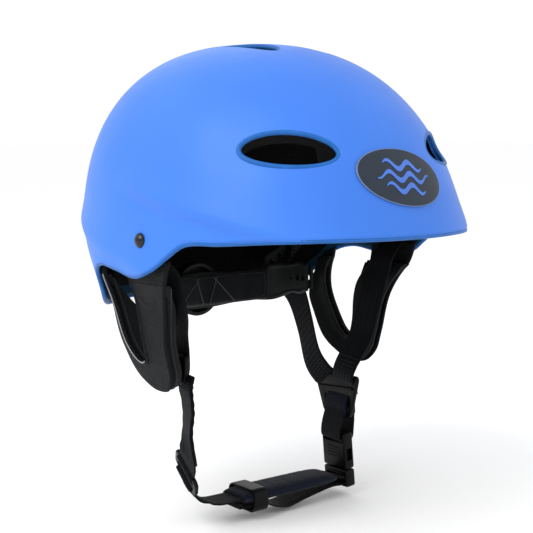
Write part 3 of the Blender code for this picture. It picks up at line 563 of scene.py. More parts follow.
def polar_at(z, inset=0.0):
    rise = (z - EQUATOR_Z) / (DOME_HEIGHT - inset)
    rise = min(1.0, max(-1.0, rise))
    return math.acos(bent(rise, HEIGHT_EXPONENT / 2.0))


def rim_z(azimuth):
    return through_knots(RIM, abs(math.degrees(azimuth))) * MM


def belt_z(degrees):
    return (-21.0 + 0.50 * min(54.0, max(0.0, degrees - 74.0))) * MM


def shoulder(above, height, reach):
    """A rounded shoulder: swelling towards a line from above, then stepping in beneath it."""
    if above > 0.0:
        return height * math.exp(-((above / reach) ** 1.5))
    return height * (1.0 - smooth(-above / (10.0 * MM)))


def relief(azimuth, z):
    """How far the sculpted surface stands out from the plain dome, horizontally."""
    degrees = abs(math.degrees(azimuth))
    below_ridge = (24.7 - 0.53 * (76.2 - degrees)) * MM - z
    fade = smooth((94.0 - degrees) / 24.0)
    hollow = smooth(below_ridge / (8.0 * MM)) * fade * (1.0 - smooth((below_ridge - 8.0 * MM) / (24.0 * MM)))
    ridge = shoulder(-below_ridge, 1.9, 11.0 * MM) * fade
    below_belt = (belt_z(degrees) - z) / (48.0 * MM)
    tuck = smooth(below_belt) * smooth((degrees - 92.0) / 25.0)
    belt = shoulder(z - belt_z(degrees), 2.0, 10.0 * MM) * smooth((degrees - 66.0) / 10.0)
    return (-2.4 * hollow + ridge - 6.5 * tuck + belt) * MM


def shell_point(azimuth, polar, inset=0.0):
    point = dome_point(azimuth, polar, inset)
    push = relief(azimuth, point.z)
    return point + Vector((-math.sin(azimuth), -math.cos(azimuth), 0.0)) * push


def surface_frame(azimuth, z, inset=0.0):
    """Place, sideways tangent and outward normal of the plain dome at an azimuth and height."""
    polar = polar_at(z, inset)
    here = dome_point(azimuth, polar, inset)
    step = 0.01
    aside = (dome_point(azimuth + step, polar, inset) - here).normalized()
    down = (dome_point(azimuth, polar + step, inset) - here).normalized()
    return here, aside, aside.cross(down).normalized()


def dome_sheet(name, columns, rings, surface, edge_z, inset):
    """The upper half of a sphere, laid onto surface(azimuth, polar) down to edge_z(azimuth)."""
    bm = bmesh.new()
    bmesh.ops.create_uvsphere(bm, u_segments=columns, v_segments=rings * 2, radius=1.0)
    lower = [v for v in bm.verts if v.co.z < -0.0001]
    bmesh.ops.delete(bm, geom=lower, context="VERTS")
    for vert in bm.verts:
        fraction = math.acos(min(1.0, max(-1.0, vert.co.z))) / (math.pi / 2)
        azimuth = math.atan2(-vert.co.x, -vert.co.y)
        vert.co = surface(azimuth, fraction * polar_at(edge_z(azimuth), inset))
    return mesh_from(bm, name)


def dome_over(x, y, inset):
    """The dome's surface above a place in plan, found by halving the polar angle's range."""
    azimuth = math.atan2(-x, DOME_CENTRE_Y - y)
    low, high = 0.0, math.pi / 2
    for _ in range(24):
        polar = (low + high) / 2
        here = dome_point(azimuth, polar, inset)
        if math.hypot(here.x, here.y - DOME_CENTRE_Y) < math.hypot(x, y - DOME_CENTRE_Y):
            low = polar
        else:
            high = polar
    return Vector((x, y, dome_point(azimuth, polar, inset).z))


# name, azimuth and height, lean, half length and half height (degrees and millimetres)
VENTS = (("front", 32.0, 50.5, 2.5, 28.5, 11.3), ("rear", 148.0, 72.0, -6.0, 29.0, 9.5))
TOP_VENT_PLACE = (-21.0 * MM, -10.0 * MM)
TOP_VENT_SIZE = (30.0 * MM, 11.0 * MM)


def vent_places():
    """Oval vents: (name, placement on the dome, (half length, half height))."""
    places = []
    for side, sign in (("right", 1), ("left", -1)):
        for name, degrees, z, lean, half_length, half_height in VENTS:
            here, aside, normal = surface_frame(math.radians(degrees) * sign, z * MM)
            long_axis = aside * math.cos(math.radians(lean)) * sign
            long_axis.z += math.sin(math.radians(lean))
            size = (half_length * MM, half_height * MM)
            places.append((name + "_vent_" + side, frame_matrix(here, long_axis, normal), size))
        top = dome_point(math.radians(64.0) * sign, math.radians(12.8))
        slope = Vector((-0.13 * sign, -0.02, 1.0))
        top.x = TOP_VENT_PLACE[0] * sign
        top.y = TOP_VENT_PLACE[1]
        places.append(("top_vent_" + side, frame_matrix(top, (0, 1, 0), slope), TOP_VENT_SIZE))
    return places


# ---- shell, its rolled edges, and the liner
def vent_cutters():
    ovals = [(place, (*half_size, 1.0)) for _, place, half_size in vent_places()]
    return [cylinder_bmesh(1.0, 60.0 * MM, place, 64, oval) for place, oval in ovals]


shell = place_piece("shell", dome_sheet("shell", 256, 110, shell_point, rim_z, 0.0), BLUE, "shell_plastic",
                    replaces=("outer_shell",))
# The inner faces get the dark teal that paints the helmet's inside shade.
shell.data.materials.append(INNER_SHADE_TEAL)
add_wall(shell, SHELL_THICK).material_offset = 1
cut_with(shell, vent_cutters())

# The rolled rim bead, in the darker teal that paints shade onto it.
lip_points = []
for step in range(240):
    azimuth = 2 * math.pi * step / 240 - math.pi
    lip = shell_point(azimuth, polar_at(rim_z(azimuth)))
    inward = Vector((math.sin(azimuth), math.cos(azimuth), 0.0)) * SHELL_THICK / 2
    lip_points.append(lip + inward + Vector((0.0, 0.0, 0.1 * MM)))
tube("shell_rim", lip_points, SHELL_THICK / 2, RIM_SHADE_TEAL, "shell_plastic", cyclic=True)


def on_surface(place, x, y, inset):
    """The sculpted surface reached from a vent's own plane at x, y, then sunk by inset."""
    aim = place @ Vector((x, y, 0.0))
    normal = place.col[2].to_3d()
    for _ in range(6):
        if normal.z > 0.8:
            aim += normal * (dome_over(aim.x, aim.y, 0.0).z - aim.z)
        else:
            azimuth = math.atan2(-aim.x, DOME_CENTRE_Y - aim.y)
            near = shell_point(azimuth, polar_at(aim.z))
            radial = Vector((-math.sin(azimuth), -math.cos(azimuth), 0.0))
            aim += normal * (near - aim).dot(radial) * radial.dot(normal)
    return aim - normal * inset


# Vent lips, in the darker teal that paints shade into the vents.
for vent_name, place, (half_length, half_height) in vent_places():
    loop = []
    for step in range(72):
        angle = 2 * math.pi * step / 72
        x = (half_length - 0.2 * MM) * math.cos(angle)
        y = (half_height - 0.2 * MM) * math.sin(angle)
        loop.append(on_surface(place, x, y, 1.65 * MM))
    tube(vent_name + "_lip", loop, 1.5 * MM, RIM_SHADE_TEAL, "shell_plastic", cyclic=True)


def liner_point(azimuth, polar):
    return dome_point(azimuth, polar, LINER_INSET)


liner = place_piece("liner", dome_sheet("liner", 120, 30, liner_point, lambda _: LINER_EDGE_Z, LINER_INSET),
                    LINER_FOAM, "liner_foam", replaces=("foam_liner",))
add_wall(liner, LINER_THICK)
cut_with(liner, vent_cutters())


def lining_spot(u, v, inset):
    """A place on the lower lining, from its edge above the rim up to the liner."""
    azimuth = u * math.radians(179.8)
    low = rim_z(azimuth) + 7.0 * MM
    z = low + (LINER_EDGE_Z + 6.0 * MM - low) * (v + 1) / 2
    return shell_point(azimuth, polar_at(z), inset)


lining_mesh = sheet_between("lower_lining", 220, 20, lining_spot, 3.1 * MM, 4.2 * MM)
place_piece("lower_lining", lining_mesh, LINER_FOAM, "liner_foam")


# ---- comfort pads
def pillow(u, v, power=4.0):
    """Fullness of a sewn pad: 1 in the middle, falling to a thin edge."""
    return max(0.0, (1 - abs(u) ** power) * (1 - abs(v) ** power)) ** 0.5


def patch_surface(span, heights):
    """A patch of the padding surface between two azimuths (degrees) and two heights (millimetres)."""
    left, right = span
    low, high = (height * MM for height in heights)

    def at(u, v):
        narrow = 1.0 - 0.06 * v * v
        lower = 1.0 - 0.10 * u * u
        azimuth = math.radians((left + right) / 2 + (right - left) / 2 * u * narrow)
        z = (low + high) / 2 + (high - low) / 2 * v * lower
        here, _, normal = surface_frame(azimuth, z, PAD_INSET)
        return here, normal

    return at


def add_pad(name, node, at, columns, rows, thick, cells, slot="comfort_foam", body="helmet"):
    """A sewn pad on a surface at(u, v): flat behind, puffed in front between cross seams."""
    def swell(u, v):
        seam = 1.0
        for cell in range(1, cells):
            seam = min(seam, abs(u - (-1 + 2 * cell / cells)) * cells * 1.6)
        return (0.22 + 0.78 * pillow(u, v)) * (0.62 + 0.38 * smooth(seam))

    def front(u, v):
        here, normal = at(u, v)
        return here - normal * thick * swell(u, v)

    def back(u, v):
        here, normal = at(u, v)
        return here - normal * 0.3 * MM

    mesh = grid_between(name, columns, rows, front, back)
    pad = place_piece(name, mesh, PAD_CLOTH, slot, body, (node,), angle=70)
    seam_line = []
    for step in range(120):
        angle = 2 * math.pi * step / 120
        u = bent(math.cos(angle), 0.25) * 0.93
        v = bent(math.sin(angle), 0.25) * 0.84
        here, normal = at(u, v)
        seam_line.append(here - normal * thick * (swell(u, v) + 0.02))
    tube(name + "_seam", seam_line, 0.35 * MM, THREAD, slot, body, cyclic=True)


for place, span, heights, columns, rows, cells in (
    ("brow%s", (-46, 46), (28, 38), 96, 16, 5),
    ("nape%s", (136, 224), (28, 38), 96, 16, 5),
    ("side%s_right", (66, 108), (30, 62), 60, 32, 2),
    ("side%s_left", (-108, -66), (30, 62), 60, 32, 2),
):
    surface = patch_surface(span, heights)
    add_pad(place % "_cushion", place % "_pad", surface, columns, rows, PAD_THICK, cells)


def crown_surface(u, v):
    half_width = 8.0 * MM * (1.0 - 0.35 * v ** 4)
    here = dome_over(u * half_width, DOME_CENTRE_Y + v * 44.0 * MM, PAD_INSET)
    return here, Vector((0.0, 0.12 * v, 1.0)).normalized()


add_pad("crown_cushion", "crown_pad", crown_surface, 18, 72, PAD_THICK, 1)

# ---- badge
badge_centre = surface_frame(math.radians(-1.0), 33.5 * MM)
badge_frame = frame_matrix(badge_centre[0], (-0.995, 0.0, 0.1), badge_centre[2])
BADGE_SIZE = (38.0 * MM, 17.6 * MM)


def badge_at(x, y, lift):
    """A place on the badge, x and y in its own plane, lifted off the shell."""
    flat = badge_frame @ Vector((x, y, 0.0))
    azimuth = math.atan2(-flat.x, DOME_CENTRE_Y - flat.y)
    here, _, normal = surface_frame(azimuth, flat.z)
    return here + normal * lift


def badge_disc(name, scale, low, high, mat, dome=0.0, replaces=()):
    """An oval layer of the badge between two heights over the shell."""
    def spot(u, v, lift):
        radius = max(abs(u), abs(v))
        length = math.hypot(u, v) or 1.0
        x = u / length * radius * BADGE_SIZE[0] * scale
        y = v / length * radius * BADGE_SIZE[1] * scale
        return badge_at(x, y, lift + dome * (1 - radius * radius))

    mesh = sheet_between(name, 40, 40, spot, high, low)
    obj = place_piece(name, mesh, mat, "badge_plastic", replaces=replaces)
    return add_bevel(obj, 0.3 * MM)


badge_disc("badge_rim", 1.0, 0.3 * MM, 1.3 * MM, BADGE_EDGE, 0.0, ("badge",))
badge_disc("badge_face", 0.975, 0.6 * MM, 1.6 * MM, BADGE_NAVY, 0.1 * MM)
for number, (rise, reach) in enumerate(((7.0, 17.0), (0.0, 23.0), (-7.0, 17.0))):
    def wave(u, v, lift, rise=rise, reach=reach):
        x = u * reach * MM
        y = (rise + 2.4 * math.sin(u * reach / 23.0 * 2.6 * math.pi) + v * 1.7 * (1 - 0.75 * u * u)) * MM
        return badge_at(x, y, lift)

    mark = sheet_between("badge_wave_%d" % number, 60, 2, wave, 2.0 * MM, 1.2 * MM)
    place_piece("badge_wave_%d" % number, mark, BADGE_MARK, "badge_plastic")

# ---- rivets and washers
RIVET_PROFILE = ((0, 3.1), (0.9, 3.05), (1.8, 2.85), (2.7, 2.45), (3.4, 1.95), (4.0, 1.35), (4.4, 0.8),
                 (4.6, 0.3), (4.6, -0.1), (2.4, -0.1), (2.4, -9.8), (4.0, -9.8), (4.0, -10.5), (3.7, -10.8),
                 (0, -10.8))
SIDE_RIVET_Y = -21.0 * MM
SIDE_RIVET_Z = -4.0 * MM
REAR_RIVET_AZIMUTH = 138.0
REAR_RIVET_Z = -20.0 * MM
WASHER_PROFILE = ((4.8, -8.6), (5.0, -8.8), (5.0, -9.2), (4.8, -9.4), (2.8, -9.4), (2.8, -8.6), (4.8, -8.6))


def rivet_frame(azimuth_sign, kind):
    if kind == "side":
        z = SIDE_RIVET_Z
        azimuth = math.radians(76.0)
        for _ in range(8):
            here = shell_point(azimuth, polar_at(z))
            azimuth += (here.y - SIDE_RIVET_Y) / -HALF_WIDTH
    else:
        z = REAR_RIVET_Z
        azimuth = math.radians(REAR_RIVET_AZIMUTH)
    azimuth *= azimuth_sign
    normal = surface_frame(azimuth, z)[2]
    normal.z = 0.0
    return shell_point(azimuth, polar_at(z)), normal.normalized()


for kind in ("side", "rear"):
    for side, sign in (("right", 1), ("left", -1)):
        here, outward = rivet_frame(sign, kind)
        place = frame_matrix(here, (0, 0, 1), outward)
        label = kind + "_%s_" + side
        turned(label % "rivet" + "_dome", RIVET_PROFILE, place, RIVET_BLACK, "rivet_plastic",
               replaces=(label % "rivet",))
        turned(label % "washer" + "_ring", WASHER_PROFILE, place, STEEL, "washer_steel",
               replaces=(label % "washer",))

# ---- ear guards and their pads
GUARD_OUTER = ((48, -28), (48.5, -38), (46, -50), (42, -63), (33, -78), (24, -90), (13, -97.5), (1, -101.5),
               (-11, -100), (-18.5, -92), (-20, -80), (-21, -66), (-24, -52), (-29, -40), (-36, -28),
               (-41, -15))
GUARD_INNER = ((39, -24), (39.5, -36), (37, -48), (33, -58), (28, -67), (23, -74), (17, -80), (10, -83.5),
               (5, -82), (4.5, -76), (5, -68), (6, -59), (6, -49), (5, -39), (4, -28), (3, -15))
PAD_OUTER = ((49, -31), (48, -40), (45, -52), (40.5, -64), (32, -78), (23, -89), (12.5, -96), (1, -100),
             (-10.5, -98.5), (-17, -91), (-18.5, -80), (-19.5, -66), (-22.5, -53), (-27, -43), (-31, -36),
             (-34, -31))
PAD_INNER = ((40, -31), (40, -39), (38, -49), (34, -59), (29, -68), (24, -75), (17.5, -81.5), (10, -85),
             (4, -83), (3.5, -76), (4, -68), (5, -59), (5, -50), (4.5, -42), (4, -36), (3.5, -31))


def guard_face(y, z):
    """X of the left guard plate's outer face."""
    lean = GUARD_TILT * max(0.0, GUARD_BEND_Z - z)
    wrap = 5.4 * MM * max(0.0, (y - 10 * MM) / (35 * MM)) ** 2
    under_rim = 2.4 * MM * smooth((-22 * MM - z) / (26 * MM)) * smooth((z + 76 * MM) / (26 * MM))
    return GUARD_FACE_X - lean - wrap - under_rim


def round_edge(distance, radius):
    """How far a rounded edge of that radius has dropped at a distance from the border."""
    if distance >= radius:
        return 0.0
    return radius - math.sqrt(max(0.0, radius * radius - (radius - distance) ** 2))


def band_place(outer, inner, u, v):
    """A place in the side view, and its distance from the band's nearer border."""
    along = (v + 1) / 2
    across = (u + 1) / 2
    start = path_point(outer, along) * MM
    end = path_point(inner, along) * MM
    spot = start.lerp(end, across)
    edge = (end - start).length * min(across, 1 - across)
    ends = min(along, 1 - along) * 200 * MM
    return spot, min(edge, ends), (end - start).length * (1 - across)


def add_guard(side, sign):
    body = "guard_" + side

    def outside(u, v):
        spot, edge, to_hole = band_place(GUARD_OUTER, GUARD_INNER, u, v)
        rib = 0.9 * MM * math.exp(-(((to_hole - 1.6 * MM) / (1.1 * MM)) ** 2))
        arc = math.hypot((spot.x + 10 * MM), spot.y + 36 * MM) - 9.5 * MM
        smile = 0.35 * MM * math.exp(-((arc / (0.7 * MM)) ** 2)) * smooth((-38 * MM - spot.y) / (3 * MM))
        x = guard_face(spot.x, spot.y) - round_edge(edge, 1.3 * MM) + rib + smile
        return Vector((sign * x, spot.x, spot.y))

    def inside(u, v):
        spot, edge, _ = band_place(GUARD_OUTER, GUARD_INNER, u, v)
        x = guard_face(spot.x, spot.y) - GUARD_THICK + round_edge(edge, 1.0 * MM)
        return Vector((sign * x, spot.x, spot.y))

    mesh = grid_between("guard_plate_" + side, 44, 200, outside, inside)
    node = "ear_guard_" + side
    place_piece("guard_plate_" + side, mesh, GUARD_GRAIN, "guard_plastic", body, (node,), angle=60)

    def soft_front(u, v):
        spot, edge, _ = band_place(PAD_OUTER, PAD_INNER, u, v)
        x = guard_face(spot.x, spot.y) - GUARD_THICK - 0.4 * MM - round_edge(edge, 2.0 * MM)
        return Vector((sign * x, spot.x, spot.y))

    def soft_back(u, v):
        spot, edge, _ = band_place(PAD_OUTER, PAD_INNER, u, v)
        thick = EAR_PAD_THICK + 5.0 * MM * smooth((spot.x - 5 * MM) / (30 * MM))
        thick *= 0.25 + 0.75 * smooth(min(1 + v, 1 - v) * 2.6)
        x = guard_face(spot.x, spot.y) - GUARD_THICK - 0.4 * MM - thick + round_edge(edge, 5.5 * MM)
        return Vector((sign * x, spot.x, spot.y))

    mesh = grid_between("ear_cushion_" + side, 32, 150, soft_front, soft_back)
    node = "ear_pad_" + side
    cushion = place_piece("ear_cushion_" + side, mesh, EAR_FOAM, "guard_foam", body, (node,), angle=75)
    for tag, outline in (("outer", PAD_OUTER), ("inner", PAD_INNER)):
        bead = []
        for step in range(90):
            spot = path_point(outline, 0.02 + 0.96 * step / 89) * MM
            bead.append((sign * (guard_face(spot.x, spot.y) - GUARD_THICK - 3.2 * MM), spot.x, spot.y))
        tube("ear_bead_%s_%s" % (tag, side), bead, 0.55 * MM, THREAD, "guard_foam", body)
    # Painted highlight: a light grey bead along the hole's rear edge stands in for the glint on the guard's
    # rib.
    shine = []
    for step in range(70):
        spot = path_point(GUARD_INNER, 0.03 + 0.50 * step / 69) * MM
        shine.append((sign * (guard_face(spot.x, spot.y) + 0.35 * MM), spot.x + 1.5 * MM, spot.y - 0.8 * MM))
    tube("guard_trim_" + side, shine, 0.5 * MM, HIGHLIGHT_GREY, "guard_plastic", body)


add_guard("right", -1)
add_guard("left", 1)


# ---- webbing
def ribbon(name, points, across, width, thick, steps, slot="webbing", body="helmet", replaces=(), mat=None,
           columns=8, extra=None, ruffle=None):
    """Webbing through points (millimetres); extra(u, v) adds a height, ruffle(v) shifts the width."""
    length = sum((Vector(b) - Vector(a)).length for a, b in zip(points, points[1:])) * MM

    def centre(v):
        return path_point(points, (v + 1) / 2) * MM

    def spot(u, v, side):
        direction = path_point(across, (v + 1) / 2).normalized()
        step = 0.01
        ahead = centre(min(1.0, v + step)) - centre(max(-1.0, v - step))
        normal = ahead.cross(direction).normalized()
        bound = 1.0 - 0.35 * smooth((abs(u) - 0.9) / 0.1) + 0.12 * smooth((abs(u) - 0.78) / 0.1)
        height = thick / 2 * bound * side
        if extra and side > 0:
            height += extra(u, v)
        half = width / 2 + (ruffle(v) if ruffle else 0.0)
        return centre(v) + direction * u * half + normal * height

    mesh = sheet_between(name, columns, steps, spot, 1, -1, (width, length))
    return place_piece(name, mesh, mat or WEBBING, slot, body, replaces, angle=50)


def level_web(name, points, width, thick, steps, **more):
    """Webbing whose width lies straight along Y."""
    return ribbon(name, points, ((0, 1, 0),) * len(points), width, thick, steps, **more)


def stitch_rows(name, points, across, width, start, end, rows, body="helmet", lift=1.0 * MM):
    """Bar tacks: short raised threads across the webbing between two places along it."""
    spacing = 3.0
    thread = Matrix.Diagonal((spacing * 0.62 * MM, 0.55 * MM, 0.35 * MM, 1.0))
    bm = bmesh.new()
    for row in range(rows):
        along = start + (end - start) * row / max(1, rows - 1)
        centre = path_point(points, along) * MM
        direction = path_point(across, along).normalized()
        ahead = path_point(points, min(1.0, along + 0.01)) - path_point(points, max(0.0, along - 0.01))
        normal = ahead.cross(direction).normalized()
        count = int(width / MM / spacing)
        for number in range(count):
            u = (number + 0.5) / count * 2 - 1
            for side in (1, -1):
                middle = centre + direction * u * width / 2 + normal * lift * side
                bmesh.ops.create_cube(bm, size=1.0, matrix=frame_matrix(middle, direction, normal) @ thread)
    return place_piece(name, mesh_from(bm, name), THREAD, "webbing", body)


FRONT_STRAP = ((-102.8, -21, 1), (-103.4, -21, -5), (-102.6, -21, -10.5), (-98, -21.5, -15.5),
               (-89.5, -21.5, -24.5), (-85.4, -20.5, -36), (-80.6, -19.5, -51))
FRONT_ACROSS = ((-0.07, 1, 0), (-0.06, 1, 0), (-0.05, 1, 0), (0, 1, 0), (0, 1, 0), (0.05, 1, 0),
                (0.1, 1, 0.05))
FRONT_END_RIGHT = ((-71.2, -6.5, -65), (-66.6, 0.5, -76), (-65.4, 2.5, -86), (-65.9, 3, -92))
FRONT_END_LEFT = ((-74.5, -15, -80), (-64.4, -10.5, -101), (-63.4, -8.5, -110), (-67.5, -7.5, -115),
                  (-69.5, -7, -121))
FRONT_END_ACROSS = ((0.15, 1, 0.1), (0.05, 1, 0.12), (0.0, 1, 0.15), (0.0, 1, 0.1), (0.0, 1, 0.05))
REAR_STRAP = ((-67.8, 96.5, -14), (-66.2, 94.9, -24), (-64.2, 87.5, -36), (-68, 75, -46), (-71.5, 61, -54),
              (-71.3, 51, -61))
REAR_ACROSS = ((0.7, 0.71, 0), (0.7, 0.71, 0), (0.62, 0.78, -0.05), (0.35, 0.9, -0.25), (0.12, 0.87, -0.47),
               (0.05, 0.82, -0.57))
REAR_END_RIGHT = ((-67.5, 41, -77.5), (-66.4, 22.5, -85), (-67.3, 12, -90))
REAR_END_LEFT = ((-71, 42, -79), (-64.4, 26, -100), (-63.4, 14.5, -110), (-67.5, 10, -115), (-69.5, 7, -121))
REAR_END_ACROSS = ((0, 0.7, -0.7), (0, 0.7, -0.7), (0, 0.7, -0.7), (0, 0.8, -0.5), (0, 0.9, -0.3))

ring_frame = frame_matrix(Vector((-62.5, 0.5, -157.5)) * MM, (0, -0.75, -0.66), (0.93, -0.25, 0.28))


def by_ring(aside, down, out=0.0):
    """A place in the adjuster ring's own plane, in millimetres."""
    return tuple(ring_frame @ (Vector((aside, down, out)) * MM) / MM)


CHIN_WEB = ((-67.4, -4, -92), (-70, -8.5, -99.4), (-69.5, -11, -113), (-69, -9.5, -128), by_ring(0, -20),
            by_ring(0, -9.6))
CHIN_WEB_ACROSS = ((0, 1, 0.08), (0.2, 1, 0.08), (0.3, 1, 0.1), (0.36, 0.95, 0.15), (0.05, 0.85, 0.45),
                   (0, 0.75, 0.66))

# Each route is a strap's points with the directions of its width.
FRONT_RIGHT = (FRONT_STRAP + FRONT_END_RIGHT, FRONT_ACROSS + FRONT_END_ACROSS[:4])
FRONT_LEFT = (on_side(FRONT_STRAP + FRONT_END_LEFT, -1), on_side(FRONT_ACROSS + FRONT_END_ACROSS, -1))
REAR_RIGHT = (REAR_STRAP + REAR_END_RIGHT, REAR_ACROSS + REAR_END_ACROSS[1:4])
REAR_LEFT = (on_side(REAR_STRAP + REAR_END_LEFT, -1), on_side(REAR_ACROSS + REAR_END_ACROSS, -1))
LOWER_RIGHT = (CHIN_WEB, CHIN_WEB_ACROSS)
STRAP_THICK = 1.6 * MM

for place, route, steps in (
    ("front_%s_right", FRONT_RIGHT, 90),
    ("front_%s_left", FRONT_LEFT, 120),
    ("rear_%s_right", REAR_RIGHT, 90),
    ("rear_%s_left", REAR_LEFT, 120),
):
    ribbon(place % "web", *route, WEB, STRAP_THICK, steps, replaces=(place % "strap",))


def puckers(depth, pitch, start, reach):
    """The waving of a worn strap's edges, dying out towards its ends."""
    return lambda v: depth * MM * math.sin(v * pitch + start) * smooth((reach - abs(v)) / 0.3)


ribbon("lower_web_right", *LOWER_RIGHT, WEB, STRAP_THICK, 110, replaces=("chin_web_right",),
       ruffle=puckers(0.45, 26, 0, 0.8))
second_layer = [(x + 1.9, y + 0.8, z) for x, y, z in CHIN_WEB[:5]]
ribbon("lower_web_fold", second_layer, CHIN_WEB_ACROSS[:5], WEB * 0.98, 1.5 * MM, 90,
       ruffle=puckers(0.6, 31, 1, 0.9))
for name, route, start, end, rows in (
    ("front_tacks_left", FRONT_LEFT, 0.70, 0.86, 12),
    ("rear_tacks_left", REAR_LEFT, 0.56, 0.84, 16),
    ("rear_tacks_right", REAR_RIGHT, 0.6, 0.8, 8),
    ("lower_tacks_right", LOWER_RIGHT, 0.12, 0.22, 4),
):
    stitch_rows(name, *route, WEB * 0.9, start, end, rows)


# ---- dividers, buckle loop, buckle
def side_plane(x):
    return frame_matrix((x * MM, 0.0, 0.0), (0, 1, 0), (1, 0, 0))


def divider(side, x, outer, arch):
    loops = [rounded_loop(outer, 5.0), rounded_loop(arch, 3.5)]
    plate("divider_body_" + side, loops, 3.0 * MM, side_plane(x), ACETAL, "buckle_plastic",
          replaces=("divider_" + side,), rounding=0.7)
    inner_x = -1 if x > 0 else 1
    edges = ((outer[0], outer[3]), (outer[1], outer[2]))
    spots = [Vector(top).lerp(Vector(bottom), 0.30) for top, bottom in edges]
    ends = [(x * MM + inner_x * 2.0 * MM, spot.x * MM * 0.86, spot.y * MM) for spot in spots]
    tube("divider_bar_" + side, ends, 1.1 * MM, ACETAL, "buckle_plastic")


divider("left", 66.5, ((-22, -108), (24, -112), (13, -139.5), (-14, -139.5)),
        ((-12.5, -123), (12.5, -124), (11.5, -135), (-12.5, -135)))
divider("right", -70.0, ((-12, -78), (23, -80), (15.5, -98), (-10.5, -98)),
        ((-6.5, -86), (15, -86.5), (12.5, -94), (-6.5, -94)))

LOOP = ((63.8, -2, -154), (60.4, -2, -154), (58.2, -2, -152), (58.2, -2, -146), (60.4, -2, -138),
        (62.8, -2, -133), (66.5, -2, -130.6), (70.2, -2, -133), (71.4, -2, -140), (70.8, -2, -148),
        (70.4, -2, -152), (68.8, -2, -154.2), (65.4, -2, -154.2))
level_web("buckle_loop", LOOP, WEB - 1 * MM, 1.4 * MM, 150, replaces=("buckle_web",))

FOLD = ((62.4, -2, -135), (62.9, -2, -128), (65.2, -2, -123.4), (68.2, -2, -123.4), (70.6, -2, -128),
        (71.2, -2, -136))
level_web("buckle_fold", FOLD, WEB + 1 * MM, STRAP_THICK, 60, mat=NAVY_WEB)
inner_fold = [(x * 0.96 + 2.7, y, z - 2.4) for x, y, z in FOLD]
level_web("buckle_fold_inner", inner_fold, WEB, STRAP_THICK, 60, mat=NAVY_WEB)

LEAN = math.radians(5.4)
buckle_frame = Matrix.Translation(Vector((65.0, -2.0, -162.0)) * MM) @ Matrix.Rotation(-LEAN, 4, "Y")


def in_buckle(x, y, z):
    return buckle_frame @ Matrix.Translation(Vector((x, y, z)) * MM)


def hardware(name, size, matrix, cuts, bevel, body="helmet", replaces=(), edge=0.4):
    """A moulded block with its pockets cut and its edges eased."""
    bm = box_bmesh(Vector(size) * MM, matrix, bevel * MM, 3)
    obj = place_piece(name, mesh_from(bm, name), ACETAL, "buckle_plastic", body, replaces)
    if cuts:
        cut_with(obj, [box_bmesh(Vector(cut_size) * MM, place) for cut_size, place in cuts])
    if edge:
        add_bevel(obj, edge * MM, 2, 50)
    return obj


socket_cuts = (((5.6, 19.6, 19.0), in_buckle(0, 0, -5.5)), ((4.6, 40.0, 8.5), in_buckle(0, 0, -2.5)),
               ((20.0, 20.6, 4.6), in_buckle(0, 0, 8.0)))
plug_cuts = (((20, 20.8, 5.0), in_buckle(0, 0, -20.4)),)
hardware("buckle_body", (8.4, 24, 26), in_buckle(0, 0, 0), socket_cuts, 1.6, replaces=("buckle_female",))
hardware("buckle_plug", (8.4, 24, 12.5), in_buckle(0, 0, -19.8), plug_cuts, 1.6, "chin", ("buckle_male",))
hardware("buckle_guide", (3.4, 5.0, 17.0), in_buckle(0, 0, -6.0), (), 0.6, "chin", edge=0)
for name, body, heights, face, half_width, radius in (
    ("plug_ridge_%d", "chin", (-23.6, -16.6), -4.3, 9, 0.6),
    ("body_ridge_%d", "helmet", (2.0, -0.2, -2.4, -4.6), -4.25, 6, 0.45),
):
    for number, z in enumerate(heights):
        ends = [in_buckle(face, y, z).translation for y in (-half_width, half_width)]
        tube(name % number, ends, radius * MM, ACETAL, "buckle_plastic", body)

PRONG = ((4.6, -13.0), (7.4, -13.0), (7.6, -6.8), (9.3, -6.0), (9.3, -3.0), (7.6, 2.2), (5.4, 2.6),
         (5.0, -6.0))
for side, sign in (("front", -1), ("rear", 1)):
    loop = [(y * sign, z) for y, z in PRONG]
    flat = buckle_frame @ frame_matrix((0, 0, 0), (0, 1, 0), (1, 0, 0))
    plate("prong_arm_" + side, [rounded_loop(loop, 0.5, 3)], 3.8 * MM, flat, ACETAL, "buckle_plastic",
          "prong_" + side, ("prong_" + side,), 0.3)

# ---- chin strap, sleeve, keeper and tail
CHIN_STRAP = ((-51.6, -4.5, -177.3), (-42, -5, -178.6), (-10, -5, -178.6), (25, -5, -178.6),
              (52, -4.5, -178.7), (60, -3, -180.6), (65.8, -2, -182.2))
level_web("chin_web", CHIN_STRAP, WEB - 0.5 * MM, 1.4 * MM, 110, body="chin", replaces=("chin_strap",))
TAIL = ((60.5, -2.5, -185.6), (48, -4, -184.6), (26, -5, -187.5), (10, -5, -190.5), (-1, -5, -188.2),
        (-11, -5, -184.4), (-23, -5, -184.2), (-31, -5, -184.2))
level_web("tail_web", TAIL, WEB - 0.5 * MM, 1.2 * MM, 110, body="chin", replaces=("strap_tail",))
stitch_rows("tail_tacks", TAIL, ((0, 1, 0),) * 8, WEB * 0.86, 0.95, 0.985, 3, body="chin", lift=0.7 * MM)
wrap = ((64.5, -2, -185.2), (66.8, -2, -183.6), (66.6, -2, -181.8), (64.2, -2, -181.0))
level_web("plug_wrap", wrap, WEB - 0.5 * MM, 1.2 * MM, 24, body="chin")


def sleeve_section(angle):
    """The chin sleeve's oval section, fuller on top."""
    height = 4.4 if math.sin(angle) > 0 else 3.6
    return 12.5 * bent(math.cos(angle), 0.55), height * bent(math.sin(angle), 0.8)


